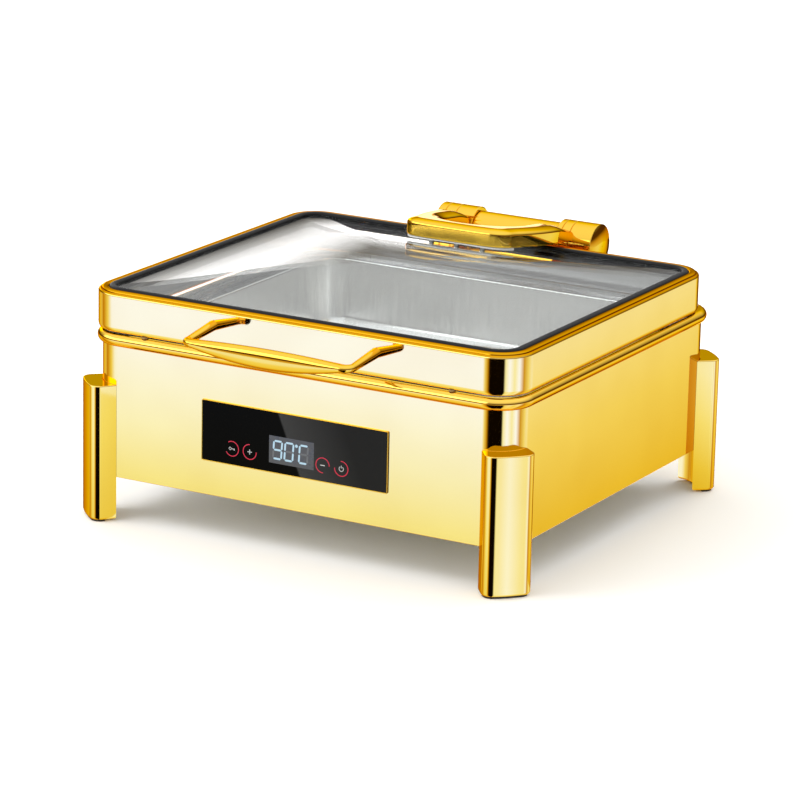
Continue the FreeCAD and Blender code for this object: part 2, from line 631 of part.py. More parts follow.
def control_panel():
    bezel = new_body("bezel")
    edge = sketch(bezel, "bezel_edge", "XZ_Plane", "body_front")
    rounded(edge, "panel_width", "panel_height", "1.6", "0", "panel_mid")
    rounded(edge, "panel_width - 2 * panel_edge", "panel_height - 2 * panel_edge", "0.8", "0", "panel_mid")
    pad(bezel, edge, "panel_proud")
    node(bezel, "panel_bezel")
    glass = new_body("touch_glass")
    face = sketch(glass, "touch_face", "XZ_Plane", "body_front")
    rounded(face, "panel_width - 2 * panel_edge - 0.1", "panel_height - 2 * panel_edge - 0.1", "0.8",
            "0", "panel_mid")
    pad(glass, face, "panel_glass")
    node(glass, "touch_panel")
    node(box("display_box", "-display_shift - display_width / 2", "-display_shift + display_width / 2",
             "-body_front + 0.2", "-board_back",
             "body_low + display_rise - display_height / 2", "body_low + display_rise + display_height / 2"),
         "display_module")
    wide = "(panel_width / 2 - panel_edge - panel_rest - board_margin)"
    tall = "(panel_height / 2 - 4)"
    board = new_body("control_board_body")
    plate = sketch(board, "control_board_plate", "XZ_Plane", "board_back - board_thick")
    rounded(plate, f"2 * {wide}", f"2 * {tall}", "2", "0", "panel_mid")
    for sx in (-1, 1):
        for sz in (-1, 1):
            circle(plate, "1.4", f"{sx} * ({wide} - 4)", f"panel_mid + {sz} * ({tall} - 4)")
    pad(board, plate, "board_thick")
    node(board, "control_board")
    keys = []
    for index, x in enumerate(("-60.6", "-43", "28.8", "47")):
        keys.append(rod(f"touch_spring_{index}", "key_radius", "body_front - board_back", x, "-body_front",
                        "body_low + key_rise", ALONG_Y))
    group("touch_springs", keys)
    housing = new_body("housing")
    shell = sketch(housing, "housing_shell", "XZ_Plane", "inner_front - housing_deep")
    rounded(shell, f"2 * {wide} + 1 + 2 * housing_wall", f"2 * {tall} + 1 + 2 * housing_wall", "3",
            "0", "panel_mid")
    pad(housing, shell, "housing_deep")
    room = sketch(housing, "housing_room", "XZ_Plane", "inner_front - housing_deep + housing_wall")
    rounded(room, f"2 * {wide} + 1", f"2 * {tall} + 1", "2", "0", "panel_mid")
    pocket(housing, room, "housing_deep", back=True)
    posts = sketch(housing, "housing_posts", "XZ_Plane", "inner_front - housing_deep + housing_wall")
    for sx in (-1, 1):
        for sz in (-1, 1):
            circle(posts, "3", f"{sx} * ({wide} - 4)", f"panel_mid + {sz} * ({tall} - 4)")
    pad(housing, posts, "board_back - board_thick - inner_front + housing_deep - housing_wall")
    taps = sketch(housing, "housing_taps", "XZ_Plane", "inner_front - housing_deep + housing_wall + 1")
    for sx in (-1, 1):
        for sz in (-1, 1):
            circle(taps, "1.3", f"{sx} * ({wide} - 4)", f"panel_mid + {sz} * ({tall} - 4)")
    pocket(housing, taps, "housing_deep", back=True)
    slot = sketch(housing, "housing_slot", "XY_Plane", "panel_mid - panel_height / 2 - 2")
    rounded(slot, "14", "4", "1", "66", "-board_back + board_thick / 2")
    pocket(housing, slot, "8", back=True)
    node(housing, "control_housing")
    screws = []
    for sx in (-1, 1):
        for sz in (-1, 1):
            screws.append(screw(f"board_screw_{sx}_{sz}", "1.2", "8", "2.6", "1.6", f"{sx} * ({wide} - 4)",
                                "-board_back", f"panel_mid + {sz} * ({tall} - 4)", ALONG_Y))
    group("board_screws", screws)


# Heater: an aluminium plate pressed against the water pan, a sheathed
# element clamped under it, a heat shield and two bridges across the body.

def heater():
    slab = box("plate_slab", "-plate_width / 2", "plate_width / 2", "-plate_depth / 2", "plate_depth / 2",
               "plate_low", "bain_bottom")
    drills = [rod("plate_eye", "8", "plate_thick + 2", "0", "0", "plate_low - 1")]
    for index, (x, y) in enumerate(((-1, -1), (1, -1), (1, 1), (-1, 1))):
        drills.append(rod(f"plate_tap_{index}", "1.7", "5", f"{x} * strip_half", f"{y} * strip_off",
                          "plate_low - 1"))
    node(cut("plate_drilled", slab, fuse("plate_drills", drills)), "heating_plate")

    element = new_body("element")
    run = sketch(element, "element_run", "XY_Plane", "element_z")
    side, low, high, bend = "element_half", "-element_front", "element_rear", "element_bend"
    via = f"({bend} * 0.29289)"
    corners = [(f"-{side}", high), (f"-{side}", f"{low} + {bend}"), (f"-{side} + {bend}", low),
               (f"{side} - {bend}", low), (side, f"{low} + {bend}"), (side, high)]
    middles = {1: (f"-{side} + {via}", f"{low} + {via}"), 3: (f"{side} - {via}", f"{low} + {via}")}
    last = None
    for index, (start, stop) in enumerate(zip(corners, corners[1:])):
        here, there = (Vector(value(x), value(y), 0) for x, y in (start, stop))
        if index in middles:
            mid = Vector(*(value(part) for part in middles[index]), 0)
            piece = run.addGeometry(Part.Arc(here, mid, there), False)
            run.addConstraint(Sketcher.Constraint("Tangent", last, 2, piece, 1))
        else:
            piece = run.addGeometry(Part.LineSegment(here, there), False)
            pin_point(run, piece, 1, *start)
            pin_point(run, piece, 2, *stop)
            if last is not None:
                run.addConstraint(Sketcher.Constraint("Coincident", last, 2, piece, 1))
        last = piece
    wire = sketch(element, "element_section", "XZ_Plane", f"-{high}")
    circle(wire, "element_radius", f"-{side}", "element_z")
    pipe = element.newObject("PartDesign::AdditivePipe", "element_pipe")
    pipe.Profile = wire
    doc.recompute()
    order = sorted(range(len(run.Shape.Edges)), key=lambda i: run.Shape.Edges[i].CenterOfMass.x)
    pipe.Spine = (run, [f"Edge{index + 1}" for index in order])
    doc.recompute()
    pins = [rod(f"element_pin_{side}", "1.6", "12", f"{side} * element_half", high, "element_z", ALONG_Y)
            for side in (-1, 1)]
    node(fuse("element_whole", [element] + pins), "heating_element")

    bars, screws = [], []
    for side in (-1, 1):
        bar = box(f"clamp_strip_{side}", "-element_half - 18", "element_half + 18",
                  f"{side} * strip_off - strip_width / 2", f"{side} * strip_off + strip_width / 2",
                  "clamp_low", "clamp_low + clamp_thick")
        eyes = [rod(f"clamp_eye_{side}_{x}", "2.2", "clamp_thick + 2", f"{x} * strip_half",
                    f"{side} * strip_off", "clamp_low - 1") for x in (-1, 1)]
        bars.append(cut(f"clamp_bar_{side}", bar, fuse(f"clamp_eyes_{side}", eyes)))
        for x in (-1, 1):
            screws.append(screw(f"clamp_screw_{side}_{x}", "1.6", "plate_low - clamp_low + 4", "3.2", "1.8",
                                f"{x} * strip_half", f"{side} * strip_off", "clamp_low"))
    group("element_clamps", bars)
    group("clamp_screws", screws)

    shield = new_body("shield")
    tray = sketch(shield, "shield_tray", "XY_Plane", "shield_low")
    rounded(tray, "plate_width + 40", "plate_depth + 40", "10")
    pad(shield, tray, "14")
    room = sketch(shield, "shield_room", "XY_Plane", "shield_top")
    rounded(room, "plate_width + 40 - 2 * shield_sheet", "plate_depth + 40 - 2 * shield_sheet",
            "10 - shield_sheet")
    pocket(shield, room, "14", back=True)
    gaps = sketch(shield, "shield_lead_gaps", "XZ_Plane", "-plate_depth / 2 - 26")
    for side in (-1, 1):
        rounded(gaps, "12", "12", "2", f"{side} * element_half", "element_z")
    pocket(shield, gaps, "20", back=True)
    holes = sketch(shield, "shield_holes", "XY_Plane", "shield_low - 1")
    for sx in (-1, 1):
        for sy in (-1, 1):
            circle(holes, "stud_radius + 0.2", f"{sx} * bridge_reach", f"{sy} * stud_off")
    pocket(shield, holes, "3", back=True)
    node(shield, "heat_shield")

    bridges, studs, nuts = [], [], []
    for sx in (-1, 1):
        x = f"{sx} * bridge_reach"
        solid = box(f"bridge_block_{sx}", f"{x} - bridge_width / 2", f"{x} + bridge_width / 2",
                    "-inner_front", "inner_rear", "shield_low - bridge_high", "shield_low")
        room = box(f"bridge_room_{sx}", f"{x} - bridge_width / 2 + bridge_sheet",
                   f"{x} + bridge_width / 2 - bridge_sheet", "-inner_front - 1", "inner_rear + 1",
                   "shield_low - bridge_high - 1", "shield_low - bridge_sheet")
        eyes = [rod(f"bridge_eye_{sx}_{sy}", "stud_radius + 0.2", "4", x, f"{sy} * stud_off",
                    "shield_low - 3") for sy in (-1, 1)]
        bridges.append(cut(f"bridge_{sx}", solid, fuse(f"bridge_cuts_{sx}", [room] + eyes)))
        for sy in (-1, 1):
            studs.append(rod(f"plate_stud_{sx}_{sy}", "stud_radius", "plate_low - shield_low + 8", x,
                             f"{sy} * stud_off", "shield_low - 8"))
            nut = prism(f"plate_nut_{sx}_{sy}", 6, "4.6", "4")
            hole = rod(f"plate_nut_hole_{sx}_{sy}", "stud_radius + 0.02", "4")
            nuts.append(put(cut(f"plate_nut_cut_{sx}_{sy}", nut, hole), x, f"{sy} * stud_off",
                            "shield_low - bridge_sheet - 4"))
    group("heater_bridges", bridges)
    group("plate_fasteners", studs + nuts)

    button = rod("sensor_button", "6", "bain_bottom - shield_top - 6", "0", "0", "shield_top + 6")
    collar = rod("sensor_collar", "9", "2", "0", "0", "shield_top + 6")
    node(fuse("sensor_whole", [button, collar]), "temperature_sensor")
    node(tube("sensor_coil", "7", "6", "6", "0", "0", "shield_top"), "sensor_spring")
    can = rod("cutout_can", "8", "7", "strip_half", "0", "plate_low - 7")
    lugs = [box(f"cutout_lug_{side}", f"strip_half + {side} * 5 - 2", f"strip_half + {side} * 5 + 2",
                "-0.5", "0.5", "plate_low - 12", "plate_low - 6.5") for side in (-1, 1)]
    node(fuse("cutout_whole", [can] + lugs), "thermal_cutout")


# Supply: an appliance inlet, a terminal block, the power board with its relay
# and transformer, and the leads between them.

def supply():
    inlet = new_body("inlet")
    plate = sketch(inlet, "inlet_plate", "XZ_Plane", "-body_rear")
    rounded(plate, "inlet_flange_width", "inlet_flange_height", "4", "-inlet_shift", "body_low + inlet_rise")
    pad(inlet, plate, "inlet_flange", back=True)
    core = sketch(inlet, "inlet_core", "XZ_Plane", "-body_rear")
    rounded(core, "inlet_width", "inlet_height", "2", "-inlet_shift", "body_low + inlet_rise")
    pad(inlet, core, "inlet_deep")
    socket = sketch(inlet, "inlet_socket", "XZ_Plane", "-body_rear - inlet_flange")
    rounded(socket, "inlet_width - 3.5", "inlet_height - 4", "3", "-inlet_shift", "body_low + inlet_rise")
    pocket(inlet, socket, "socket_deep", back=True)
    holes = sketch(inlet, "inlet_holes", "XZ_Plane", "-body_rear - inlet_flange")
    for side in (-1, 1):
        circle(holes, "1.6", f"-inlet_shift + {side} * inlet_screw_off", "body_low + inlet_rise")
    pocket(inlet, holes, "inlet_flange + 1", back=True)
    node(inlet, "power_inlet")
    blades = []
    for index, (x, z) in enumerate((("-7", "-2"), ("7", "-2"), ("0", "2"))):
        blades.append(box(f"inlet_blade_{index}", f"-inlet_shift + {x} - 1", f"-inlet_shift + {x} + 1",
                          "body_rear + inlet_flange - socket_deep", "body_rear + inlet_flange - blade_short",
                          f"body_low + inlet_rise + {z} - 2", f"body_low + inlet_rise + {z} + 2"))
    group("inlet_pins", blades)
    screws, nuts = [], []
    for tag, side in (("left", -1), ("right", 1)):
        x = f"-inlet_shift + {side} * inlet_screw_off"
        screws.append(screw("inlet_screw_" + tag, "1.5", "inlet_flange + sheet_wall + 4", "2.8", "1.8", x,
                            "body_rear + inlet_flange", "body_low + inlet_rise", TO_FRONT))
        nut = prism("inlet_nut_" + tag, 6, "3.2", "2.4")
        hole = rod("inlet_nut_hole_" + tag, "1.52", "2.4")
        nuts.append(put(cut("inlet_nut_cut_" + tag, nut, hole), x, "inner_rear",
                        "body_low + inlet_rise", TO_FRONT))
    group("inlet_fasteners", screws + nuts)

    block_low = "body_low + 62"
    block = box("terminal_bar", "-85", "-45", "inner_rear - 14", "inner_rear", block_low,
                f"{block_low} + 16")
    wells = [rod(f"terminal_well_{index}", "2", "6", f"-80 + {index} * 10", "inner_rear - 9",
                 f"{block_low} + 11") for index in range(4)]
    node(cut("terminal_whole", block, fuse("terminal_wells", wells)), "terminal_block")

    low = "body_low + supply_rise"
    left = "supply_shift"
    board = box("power_plate", left, "supply_shift + supply_width", "supply_face - board_thick",
                "supply_face", low, f"{low} + supply_height")
    node(board, "power_board")
    posts = []
    for index, (x, z) in enumerate(((5, 5), (85, 5), (85, 37), (5, 37))):
        posts.append(rod(f"standoff_{index}", "3", "supply_off", f"{left} + {x} * supply_width / 90",
                         "supply_face", f"{low} + {z} * supply_height / 42", ALONG_Y))
    group("board_standoffs", posts)
    front = "supply_face - board_thick"
    node(box("relay_case", f"{left} + 8", f"{left} + 28", f"{front} - 15", front,
             f"{low} + 7", f"{low} + 23"), "power_relay")
    coil = box("transformer_core", f"{left} + 44", f"{left} + 74", f"{front} - 16", front,
               f"{low} + 8", f"{low} + 34")
    node(coil, "transformer")

    supply_leads = [
        lead("inlet_lead_a", [("-inlet_shift + 7", "body_rear - inlet_deep", "body_low + inlet_rise"),
                              ("-inlet_shift + 7", "inner_rear - 31", "body_low + inlet_rise"),
                              ("-65", "inner_rear - 31", f"{block_low} + 8"),
                              ("-65", "inner_rear - 14", f"{block_low} + 8")]),
        lead("inlet_lead_b", [("-inlet_shift - 7", "body_rear - inlet_deep", "body_low + inlet_rise"),
                              ("-inlet_shift - 7", "inner_rear - 36", "body_low + inlet_rise"),
                              ("-55", "inner_rear - 36", f"{block_low} + 8"),
                              ("-55", "inner_rear - 14", f"{block_low} + 8")]),
        lead("board_lead", [("-45", "supply_face - board_thick / 2", f"{block_low} + 12"),
                            (left, "supply_face - board_thick / 2", f"{block_low} + 12")]),
    ]
    group("power_leads", supply_leads)
    end = "element_half"
    heat_leads = [
        lead("heater_lead_a", [(f"-{end}", "107", "element_z"), (f"-{end}", "inner_rear - 8", "element_z"),
                               (f"-{end}", "inner_rear - 8", block_low)]),
        lead("heater_lead_b", [(end, "107", "element_z"), (end, f"{front} - 8", "element_z"),
                               (end, f"{front} - 8", f"{low} + 7")]),
    ]
    group("heater_leads", heat_leads)

    ribbon = new_body("ribbon")
    path = sketch(ribbon, "ribbon_path", "YZ_Plane", "60")
    y0 = "-board_back + board_thick / 2"
    y1 = "supply_face - board_thick / 2"
    top0 = "panel_mid - panel_height / 2 + 4"
    low_z = "body_low + 8"
    bend = "6"
    thin = "0.5"
    outer = f"({bend} + {thin})"
    inner = f"({bend} - {thin})"
    k = "0.29289"
    outline(path, [
        (f"{y0} - {thin}", top0),
        (f"{y0} - {thin}", f"{low_z} + {bend}",
         (f"{y0} - {thin} + {outer} * {k}", f"{low_z} - {thin} + {outer} * {k}")),
        (f"{y0} + {bend}", f"{low_z} - {thin}"),
        (f"{y1} - {bend}", f"{low_z} - {thin}",
         (f"{y1} + {thin} - {outer} * {k}", f"{low_z} - {thin} + {outer} * {k}")),
        (f"{y1} + {thin}", f"{low_z} + {bend}"),
        (f"{y1} + {thin}", low),
        (f"{y1} - {thin}", low),
        (f"{y1} - {thin}", f"{low_z} + {bend}",
         (f"{y1} - {thin} - {inner} * {k}", f"{low_z} + {thin} + {inner} * {k}")),
        (f"{y1} - {bend}", f"{low_z} + {thin}"),
        (f"{y0} + {bend}", f"{low_z} + {thin}",
         (f"{y0} + {thin} + {inner} * {k}", f"{low_z} + {thin} + {inner} * {k}")),
        (f"{y0} + {thin}", f"{low_z} + {bend}"),
        (f"{y0} + {thin}", top0),
    ])
    pad(ribbon, path, "12")
    node(ribbon, "ribbon_cable")


def lead(name, points, bend=6):
    """A wire along straight runs joined by round bends."""
    spots = [Vector(*(value(part) for part in point)) for point in points]
    edges, last = [], spots[0]
    for before, here, after in zip(spots, spots[1:], spots[2:]):
        back = (before - here).normalize()
        ahead = (after - here).normalize()
        half = back.getAngle(ahead) / 2
        trim = bend / math.tan(half)
        start, stop = here + back * trim, here + ahead * trim
        middle = (back + ahead).normalize()
        via = here + middle * (bend / math.sin(half) - bend)
        edges += [Part.LineSegment(last, start).toShape(), Part.Arc(start, via, stop).toShape()]
        last = stop
    edges.append(Part.LineSegment(last, spots[-1]).toShape())
    way = (spots[1] - spots[0]).normalize()
    across = way.cross(UP if abs(way.z) < 0.5 else Vector(1, 0, 0)).normalize() * value("lead_radius")
    rim = [spots[0] + Rotation(way, 60 * k).multVec(across) for k in range(6)]
    ring = Part.makePolygon(rim + rim[:1])
    made = doc.addObject("Part::Feature", name)
    made.Shape = Part.Wire(edges).makePipeShell([ring], True, False)
    return made


# Lid frame: a drawn skirt whose top folds into a crest and steps down to a
# shelf that carries the black seal.

def from_edge(inset):
    """Distance from the lid's centre to a point set in from its front."""
    return f"-half_y + {inset}"


def lid_path(body, name):
    path = sketch(body, name, "XY_Plane", "skirt_low")
    rounded(path, "lid_width", "lid_depth", "lid_corner")
    return path


def lid_frame():
    lid = new_body("lid_skirt")
    path = lid_path(lid, "lid_path")
    wall = "lid_sheet"
    shelf = "(crest - seal_depth)"
    section = sketch(lid, "lid_section", "YZ_Plane")
    outline(section, [
        (from_edge("2.4"), "skirt_low"),
        (from_edge("0.7"), "skirt_low + 1.3"),
        (from_edge("0"), "skirt_low + 4.5"),
        (from_edge("0"), "crease"),
        (from_edge("1.3"), "crest - 1.4"),
        (from_edge("2.2"), "crest - 1"),
        (from_edge("2.8"), "crest"),
        (from_edge("crest_width"), "crest"),
        (from_edge("crest_width"), shelf),
        (from_edge("light_inset - 1"), shelf),
        (from_edge("light_inset - 1"), f"{shelf} - {wall}"),
        (from_edge(f"crest_width - {wall}"), f"{shelf} - {wall}"),
        (from_edge(f"crest_width - {wall}"), "crest - 4.4"),
        (from_edge(wall), "crest - 5.4"),
        (from_edge(wall), "skirt_low + 4.7"),
        (from_edge("1.8"), "skirt_low + 2"),
        (from_edge("3"), "skirt_low + 1"),
    ])
    sweep_round(lid, section, path)
    holes = sketch(lid, "lid_handle_holes", "XZ_Plane", "half_y + 1")
    for side in (-1, 1):
        circle(holes, "2.1", f"{side} * handle_half", "skirt_low + handle_rise")
    pocket(lid, holes, "lid_sheet + 1.5")
    node(lid, "lid_frame")


# Seal: a black silicone channel that grips the edge of the glass.

def lid_seal():
    seal = new_body("seal")
    path = lid_path(seal, "seal_path")
    low = "(glass_level - glass_thick - 1 - seal_play)"
    high = "(glass_level + seal_play)"
    grip = "light_inset - glass_grip - 0.2"
    section = sketch(seal, "seal_section", "YZ_Plane")
    outline(section, [
        (from_edge("crest_width + 0.05"), "crest - seal_depth"),
        (from_edge("light_inset"), "crest - seal_depth"),
        (from_edge("light_inset"), low),
        (from_edge(grip), low),
        (from_edge(grip), high),
        (from_edge("light_inset"), high),
        (from_edge("light_inset"), "crest - 0.1"),
        (from_edge("light_inset - 0.8"), "crest + 0.3"),
        (from_edge("crest_width + 0.6"), "crest + 0.3"),
        (from_edge("crest_width + 0.05"), "crest"),
    ])
    sweep_round(seal, section, path)
    node(seal, "lid_seal")


# Glass: a smooth dome, highest in the middle and level round its edge.

def dome(name, sink, deep):
    """A block under the dome. The height over the edge is the rise times
    (1 - (x / a)^2) (1 - (y / b)^2), which a patch of three by three poles holds."""
    reach_x, reach_y = value("half_x"), value("half_y")
    share_x = (reach_x / value("light_x")) ** 2
    share_y = (reach_y / value("light_y")) ** 2
    rise = value("glass_rise")
    base = value("glass_level") - sink
    patch = Part.BezierSurface()
    patch.increase(2, 2)
    for i, (x, fx) in enumerate(((-reach_x, 1 - share_x), (0, 1 + share_x), (reach_x, 1 - share_x))):
        for j, (y, fy) in enumerate(((-reach_y, 1 - share_y), (0, 1 + share_y), (reach_y, 1 - share_y))):
            patch.setPole(i + 1, j + 1, Vector(x, y, base + rise * fx * fy))
    made = doc.addObject("Part::Feature", name)
    made.Shape = patch.toShape().extrude(Vector(0, 0, -deep))
    return made


def arm_screw_places():
    return (("-arm_screw_pitch", "arm_screw_y"), ("0", "arm_screw_y"), ("arm_screw_pitch", "arm_screw_y"))


def lid_glass():
    edge = new_body("glass_edge")
    line = sketch(edge, "glass_line", "XY_Plane", "glass_level - 20")
    inset = "(light_inset - glass_grip)"
    rounded(line, f"lid_width - 2 * {inset}", f"lid_depth - 2 * {inset}", f"lid_corner - {inset}")
    pad(edge, line, "60")
    pane = doc.addObject("Part::Common", "glass_pane")
    pane.Base = dome("glass_dome", 0, value("glass_thick"))
    pane.Tool = edge
    drills = [rod(f"glass_drill_{index}", "4", "60", x, y, "glass_level - 20")
              for index, (x, y) in enumerate(arm_screw_places())]
    node(cut("glass_drilled", pane, fuse("glass_drills", drills)), "lid_glass")


# Handle: a crowned bar, deepest in the middle, on two tapered arms.

def lid_handle():
    grip = new_body("grip")
    mid_z = "(skirt_low + handle_rise - handle_drop)"
    tip_low = f"{mid_z} + handle_tip_rise - handle_tip_high / 2"
    tip_high = f"{mid_z} + handle_tip_rise + handle_tip_high / 2"
    face = sketch(grip, "grip_face", "XZ_Plane", "handle_front - handle_bar_thick")
    outline(face, [
        ("-handle_tip", tip_low, ("0", f"{mid_z} - handle_bar / 2")),
        ("handle_tip", tip_low),
        ("handle_tip", tip_high, ("0", f"{mid_z} + handle_bar / 2")),
        ("-handle_tip", tip_high),
    ])
    pad(grip, face, "handle_bar_thick")
    soften(grip, "handle_round", lambda edge: edge.BoundBox.YLength < 0.01)
    rise = value("handle_drop - handle_tip_rise")
    run = value("handle_reach - handle_bar_thick / 2")
    lean = Rotation(Vector(1, 0, 0), 90 + math.degrees(math.atan2(rise, run)))
    arms = []
    for side in (-1, 1):
        arm = doc.addObject("Part::Cone", f"grip_arm_{'left' if side < 0 else 'right'}")
        bind(arm, "Radius1", "handle_root + 0.03 * handle_root")
        bind(arm, "Radius2", "handle_neck")
        bind(arm, "Height", f"{math.hypot(rise, run)} + 1")
        back = rise / run
        arms.append(put(arm, f"{side} * handle_half", "-half_y + 1",
                        f"skirt_low + handle_rise + {back}", lean))
    trims = [box("grip_trim", "-2 * handle_half", "2 * handle_half", "-half_y", "-half_y + 12",
                 "skirt_low", "crest")]
    trims += [rod(f"grip_tap_{side}", "1.9", "13", f"{side} * handle_half", "-half_y + 1",
                  "skirt_low + handle_rise", TO_FRONT) for side in (-1, 1)]
    whole = fuse("grip_whole", [grip] + arms)
    node(cut("grip_trimmed", whole, fuse("grip_trims", trims)), "lid_handle")
    screws = [screw(f"handle_screw_{index}", "1.85", "11", "3.4", "2.2", f"{side} * handle_half",
                    "-half_y + lid_sheet", "skirt_low + handle_rise", TO_FRONT)
              for index, side in enumerate((-1, 1))]
    group("handle_screws", screws)


# Hinge arm: a casting whose two limbs run from the bar on the glass to the
# barrels, with an open window between them.

def hinge_arm():
    arm = new_body("arm")
    plan = sketch(arm, "arm_plan", "XY_Plane", "axis_z - 4")
    root = "axis_y - 8"
    bow_y = "arm_front + 0.46 * arm_reach"
    outline(plan, [
        ("-arm_nose", "arm_front", ("0", "arm_front - arm_bow")),
        ("arm_nose", "arm_front", ("arm_waist", bow_y)),
        ("arm_tail", root),
        ("arm_window", root),
        ("arm_window", "arm_window_front + arm_window", ("0", "arm_window_front")),
        ("-arm_window", "arm_window_front + arm_window"),
        ("-arm_window", root),
        ("-arm_tail", root, ("-arm_waist", bow_y)),
    ])
    pad(arm, plan, "60")
    nose = value("arm_front")

    def at_nose(edge):
        reach = edge.BoundBox
        return reach.ZLength > 50 and reach.YLength < 0.1 and abs(reach.YMin - nose) < 0.1

    soften(arm, "arm_corner", at_nose)
    above = sketch(arm, "arm_above", "YZ_Plane")
    rear = "(axis_y - arm_front)"
    top = "arm_low + arm_thick"
    outline(above, [
        ("arm_front - 5", f"{top} + 5 * arm_slope"),
        ("axis_y + 10", f"{top} - ({rear} + 10) * arm_slope"),
        ("axis_y + 10", f"{top} + 40"),
        ("arm_front - 5", f"{top} + 40"),
    ])
    pocket(arm, above, "4 * arm_tail", both=True)
    below = sketch(arm, "arm_below", "YZ_Plane")
    outline(below, [
        ("arm_front - 5", "arm_low + 5 * arm_slope"),
        ("arm_front - 5", "arm_low - 60"),
        ("axis_y + 5", "arm_low - 60"),
        ("axis_y + 5", f"arm_low - ({rear} + 5) * arm_slope"),
    ])
    pocket(arm, below, "4 * arm_tail", both=True)
    slope = value("arm_slope")
    face_top = value(top) + slope * value("arm_front")

    def on_top(edge):
        return all(abs(v.Point.z - (face_top - slope * v.Point.y)) < 0.05 for v in edge.Vertexes)

    soften(arm, "arm_round", on_top)
    for side, start in (("right", "barrel_inner"), ("left", "-barrel_outer")):
        ring = sketch(arm, "arm_barrel_" + side, "YZ_Plane", start)
        circle(ring, "barrel_radius", "axis_y", "axis_z")
        pad(arm, ring, "barrel_outer - barrel_inner")
    clear = sketch(arm, "arm_clear", "YZ_Plane")
    circle(clear, "tube_radius + 1.5", "axis_y", "axis_z")
    pocket(arm, clear, "2 * barrel_inner", both=True)
    for side, start in (("right", "barrel_inner + barrel_wall"), ("left", "-barrel_outer - 1")):
        bore = sketch(arm, "arm_bore_" + side, "YZ_Plane", start)
        circle(bore, "barrel_bore", "axis_y", "axis_z")
        pocket(arm, bore, "barrel_outer - barrel_inner - barrel_wall + 1", back=True)
    eye = sketch(arm, "arm_eye", "YZ_Plane")
    circle(eye, "pin_radius + pin_play", "axis_y", "axis_z")
    pocket(arm, eye, "2 * barrel_outer", both=True)
    for index, x in enumerate(("48.8", "57.6", "-61.8", "-73")):
        line = sketch(arm, f"arm_groove_{index}", "XY_Plane", "axis_z", shift_y="axis_y")
        outline(line, [(f"{x} - 0.7", "barrel_radius + 0.5"), (x, "barrel_radius - 0.8"),
                       (f"{x} + 0.7", "barrel_radius + 0.5")])
        ring = arm.newObject("PartDesign::Groove", f"arm_ring_{index}")
        ring.Profile = line
        ring.ReferenceAxis = (line, ["H_Axis"])
        ring.Angle = 360
        doc.recompute()
    taps = sketch(arm, "arm_taps", "XY_Plane", "arm_low - 20")
    for x, y in arm_screw_places():
        circle(taps, "2.6", x, y)
    pocket(arm, taps, "31", back=True)
    node(arm, "hinge_arm")

    for side, turn in (("right", ALONG_X), ("left", Rotation(Vector(0, 1, 0), -90))):
        cap = new_body("cap_" + side)
        form = sketch(cap, "cap_form_" + side, "XZ_Plane")
        high = "cap_rim + cap_crown"
        outline(form, [("0", "-1.5"), ("barrel_bore - 0.05", "-1.5"), ("barrel_bore - 0.05", "0"),
                       ("barrel_radius", "0"), ("barrel_radius", "cap_rim"),
                       ("barrel_radius - 1.2", "cap_rim + 1.2"), ("barrel_radius * 0.5", high), ("0", high)])
        spin = cap.newObject("PartDesign::Revolution", "cap_spin_" + side)
        spin.Profile = form
        spin.ReferenceAxis = (form, ["V_Axis"])
        spin.Angle = 360
        doc.recompute()
        way = "" if side == "right" else "-"
        put(cap, way + "barrel_outer", "axis_y", "axis_z", turn)
        node(cap, "barrel_cap_" + side)
        start = "barrel_inner + barrel_wall + 0.1"
        node(tube("damper_" + side, "barrel_bore - 0.05", "pin_radius + pin_play", "damper_length",
                  f"{way}({start})", "axis_y", "axis_z", turn), "damper_" + side)


# Bracket: the fixed tube between the barrels, on a curved column whose foot
# is screwed to the back wall against a backing plate.

